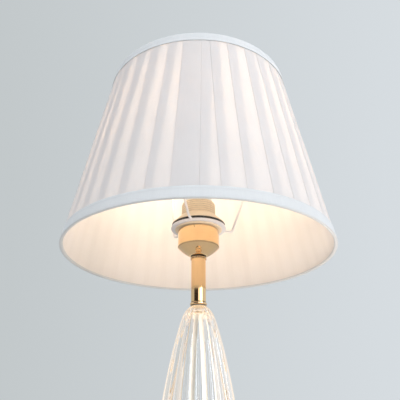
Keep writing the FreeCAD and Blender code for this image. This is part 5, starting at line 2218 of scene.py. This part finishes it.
@dataclass
class Studio:
    """Floor, light and camera round the lamp.

    Attributes:
        backdrop: Colours of the surroundings seen directly, at the left and the right.
        daylight: Colour of the light from all round.
        daylight_strength: Its strength.
        window_watts: Power of the large soft lamp at the right.
        window_spread: How widely that lamp's light fans out, in radians.
        bounce_watts: Power of the warm light that the table sends up into the shade.
        camera_place: Where the camera stands.
        camera_pitch: How far it looks up, in degrees.
        lens: Focal length in millimetres.
        sensor: Width of the sensor in millimetres.
        shift: How far the picture is moved sideways, as a share of its width.
        aim: Where the lamps point.
        floor_colours: Two colours that the floor drifts between.
        floor_rings: Radii of the floor's rings.
        dark_sector: Dark stretch that gold mirrors: azimuth, full and faded half widths, in degrees.
        window_sector: The window that gold mirrors, in the same way.
        mirrored: Colours of both.
    """

    backdrop: tuple[Colour, Colour] = ((0.545, 0.582, 0.595), (0.675, 0.718, 0.75))
    daylight: Colour = (0.90, 0.95, 1.0)
    daylight_strength: float = 1.27
    window_watts: float = 11.4
    window_spread: float = math.radians(100)
    bounce_watts: float = 0.35
    camera_place: tuple[float, float, float] = (0.0, -0.526, 0.186)
    camera_pitch: float = 25.15
    lens: float = 45.0
    sensor: float = 36.0
    shift: float = 0.00375
    aim: Place = (0.0, 0.0, 0.42)
    floor_colours: tuple[Colour, Colour] = ((0.50, 0.485, 0.465), (0.53, 0.515, 0.495))
    floor_rings: tuple[float, ...] = (0.0, 0.3, 0.8, 2.0, 6.0)
    dark_sector: tuple[float, float, float] = (-36.0, 29.0, 35.0)
    window_sector: tuple[float, float, float] = (17.0, 14.0, 19.0)
    mirrored: tuple[Colour, Colour] = ((0.035, 0.03, 0.028), (1.7, 1.7, 1.65))

    def build(self) -> None:
        """Set up the studio."""
        self.floor()
        self.world()
        self.window()
        self.camera()
        bpy.context.scene.view_settings.view_transform = "Standard"

    def floor(self) -> None:
        """Pale floor with a faint grain."""
        columns = 96
        angles = np.linspace(0.0, FULL_TURN, columns, endpoint=False)
        radii = np.array(self.floor_rings)[:, None]
        flat = flat_map(np.linspace(0, 1, columns + 1), np.linspace(0, 1, len(radii)))
        floor = grid_mesh("studio_floor", places_at(angles, radii, 0.0), flat)
        floor.location.z = -0.0002
        material = bpy.data.materials.new("studio_floor")
        material.use_nodes = True
        net = Wiring(material.node_tree)
        shader = material.node_tree.nodes["Principled BSDF"]
        place = net.add("ShaderNodeTexCoord").outputs["Object"]
        net.feed(shader.inputs["Base Color"], net.blend(net.noise(place, 3.0), *self.floor_colours))
        net.feed(shader.inputs["Roughness"], 0.7)
        floor.data.materials.append(material)

    def world(self) -> None:
        """Even daylight, with a plain backdrop for what the camera, gloss and glass see."""
        world = bpy.data.worlds.new("studio")
        world.use_nodes = True
        world.node_tree.nodes.clear()
        net = Wiring(world.node_tree)
        rays = net.add("ShaderNodeLightPath")
        looking = net.add("ShaderNodeTexCoord").outputs["Generated"]
        heading = net.add("ShaderNodeSeparateXYZ", sockets={0: looking})
        side = net.remap(heading.outputs[0], (-0.35, 0.35), WHOLE)
        seen = net.blend(side, *self.backdrop)
        lights = ((self.daylight, self.daylight_strength), (self.room(net, heading, seen), 1.0), (seen, 1.0))
        around, room, direct = (
            net.add("ShaderNodeBackground", sockets={"Color": colour, "Strength": strength}).outputs[0]
            for colour, strength in lights
        )
        clear = net.math("MAXIMUM", rays.outputs["Is Camera Ray"], rays.outputs["Is Transmission Ray"])
        sockets = {0: rays.outputs["Is Glossy Ray"], 1: around, 2: room}
        glossy = net.add("ShaderNodeMixShader", sockets=sockets)
        shown = net.add("ShaderNodeMixShader", sockets={0: clear, 1: glossy.outputs[0], 2: direct})
        output = net.add("ShaderNodeOutputWorld")
        net.feed(output.inputs["Surface"], shown.outputs[0])
        bpy.context.scene.world = world

    def room(self, net: Wiring, heading: Node, seen: NodeSocket) -> NodeSocket:
        """Colour that polished metal mirrors: the backdrop, a window in front and a dark stretch left of it.

        Args:
            net: The world's wiring.
            heading: Node that gives the direction looked in.
            seen: Colour of the backdrop.

        Returns:
            The colour.
        """
        azimuth = net.math("ARCTAN2", heading.outputs[0], net.math("MULTIPLY", heading.outputs[1], -1.0))
        for sector, colour in zip((self.dark_sector, self.window_sector), self.mirrored):
            middle, full, ends = (math.radians(angle) for angle in sector)
            offset = net.math("ABSOLUTE", net.math("SUBTRACT", azimuth, middle))
            seen = net.blend(net.remap(offset, (full, ends), WHOLE[::-1]), seen, colour)
        return seen

    def window(self) -> None:
        """Large soft lamp at the right, in front of the lamp and above it, and the table's bounce."""
        pale, warm = (0.97, 0.98, 1.0), (1.0, 0.86, 0.76)
        window = self.soft_lamp("window_light", (1.7, -1.7, 1.5), (1.1, 1.5), self.window_watts, pale)
        bounce = self.soft_lamp("table_bounce", (0.13, -0.06, 0.17), (0.06, 0.06), self.bounce_watts, warm)
        window.data.spread = self.window_spread
        for lamp in (window, bounce):
            lamp.visible_camera = False
            lamp.visible_transmission = False
        bounce.visible_glossy = False

    def soft_lamp(
        self, name: str, place: Place, size: tuple[float, float], watts: float, colour: Colour
    ) -> Object:
        """Rectangular lamp aimed at the shade.

        Args:
            name: Name of the lamp.
            place: Where it stands.
            size: Its width and height.
            watts: Its power.
            colour: Its colour.

        Returns:
            The lamp's object.
        """
        light = bpy.data.lights.new(name, "AREA")
        light.shape = "RECTANGLE"
        light.size, light.size_y = size
        light.energy = watts
        light.color = colour
        lamp = bpy.data.objects.new(name, light)
        lamp.location = place
        aim = Vector(self.aim) - lamp.location
        lamp.rotation_euler = aim.to_track_quat("-Z", "Y").to_euler()
        bpy.context.scene.collection.objects.link(lamp)
        return lamp

    def camera(self) -> None:
        """Camera at the viewing angle from below."""
        data = bpy.data.cameras.new("camera")
        data.sensor_width = self.sensor
        data.lens = self.lens
        data.shift_x = self.shift
        camera = bpy.data.objects.new("camera", data)
        camera.location = self.camera_place
        camera.rotation_euler = (math.radians(90 + self.camera_pitch), 0.0, 0.0)
        bpy.context.scene.collection.objects.link(camera)
        bpy.context.scene.camera = camera


def main() -> None:
    """Build the lamp's looks."""
    logging.basicConfig(level=logging.INFO, format="%(name)s: %(message)s")
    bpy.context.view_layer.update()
    shop = Workshop()
    for part in (Foot(), GlassBody(), Neck(), Lampholder(), Bulb(), Shade()):
        LOG.info("building %s", type(part).__name__)
        part.build(shop)
    Studio().build()


if __name__ == "__main__":
    main()
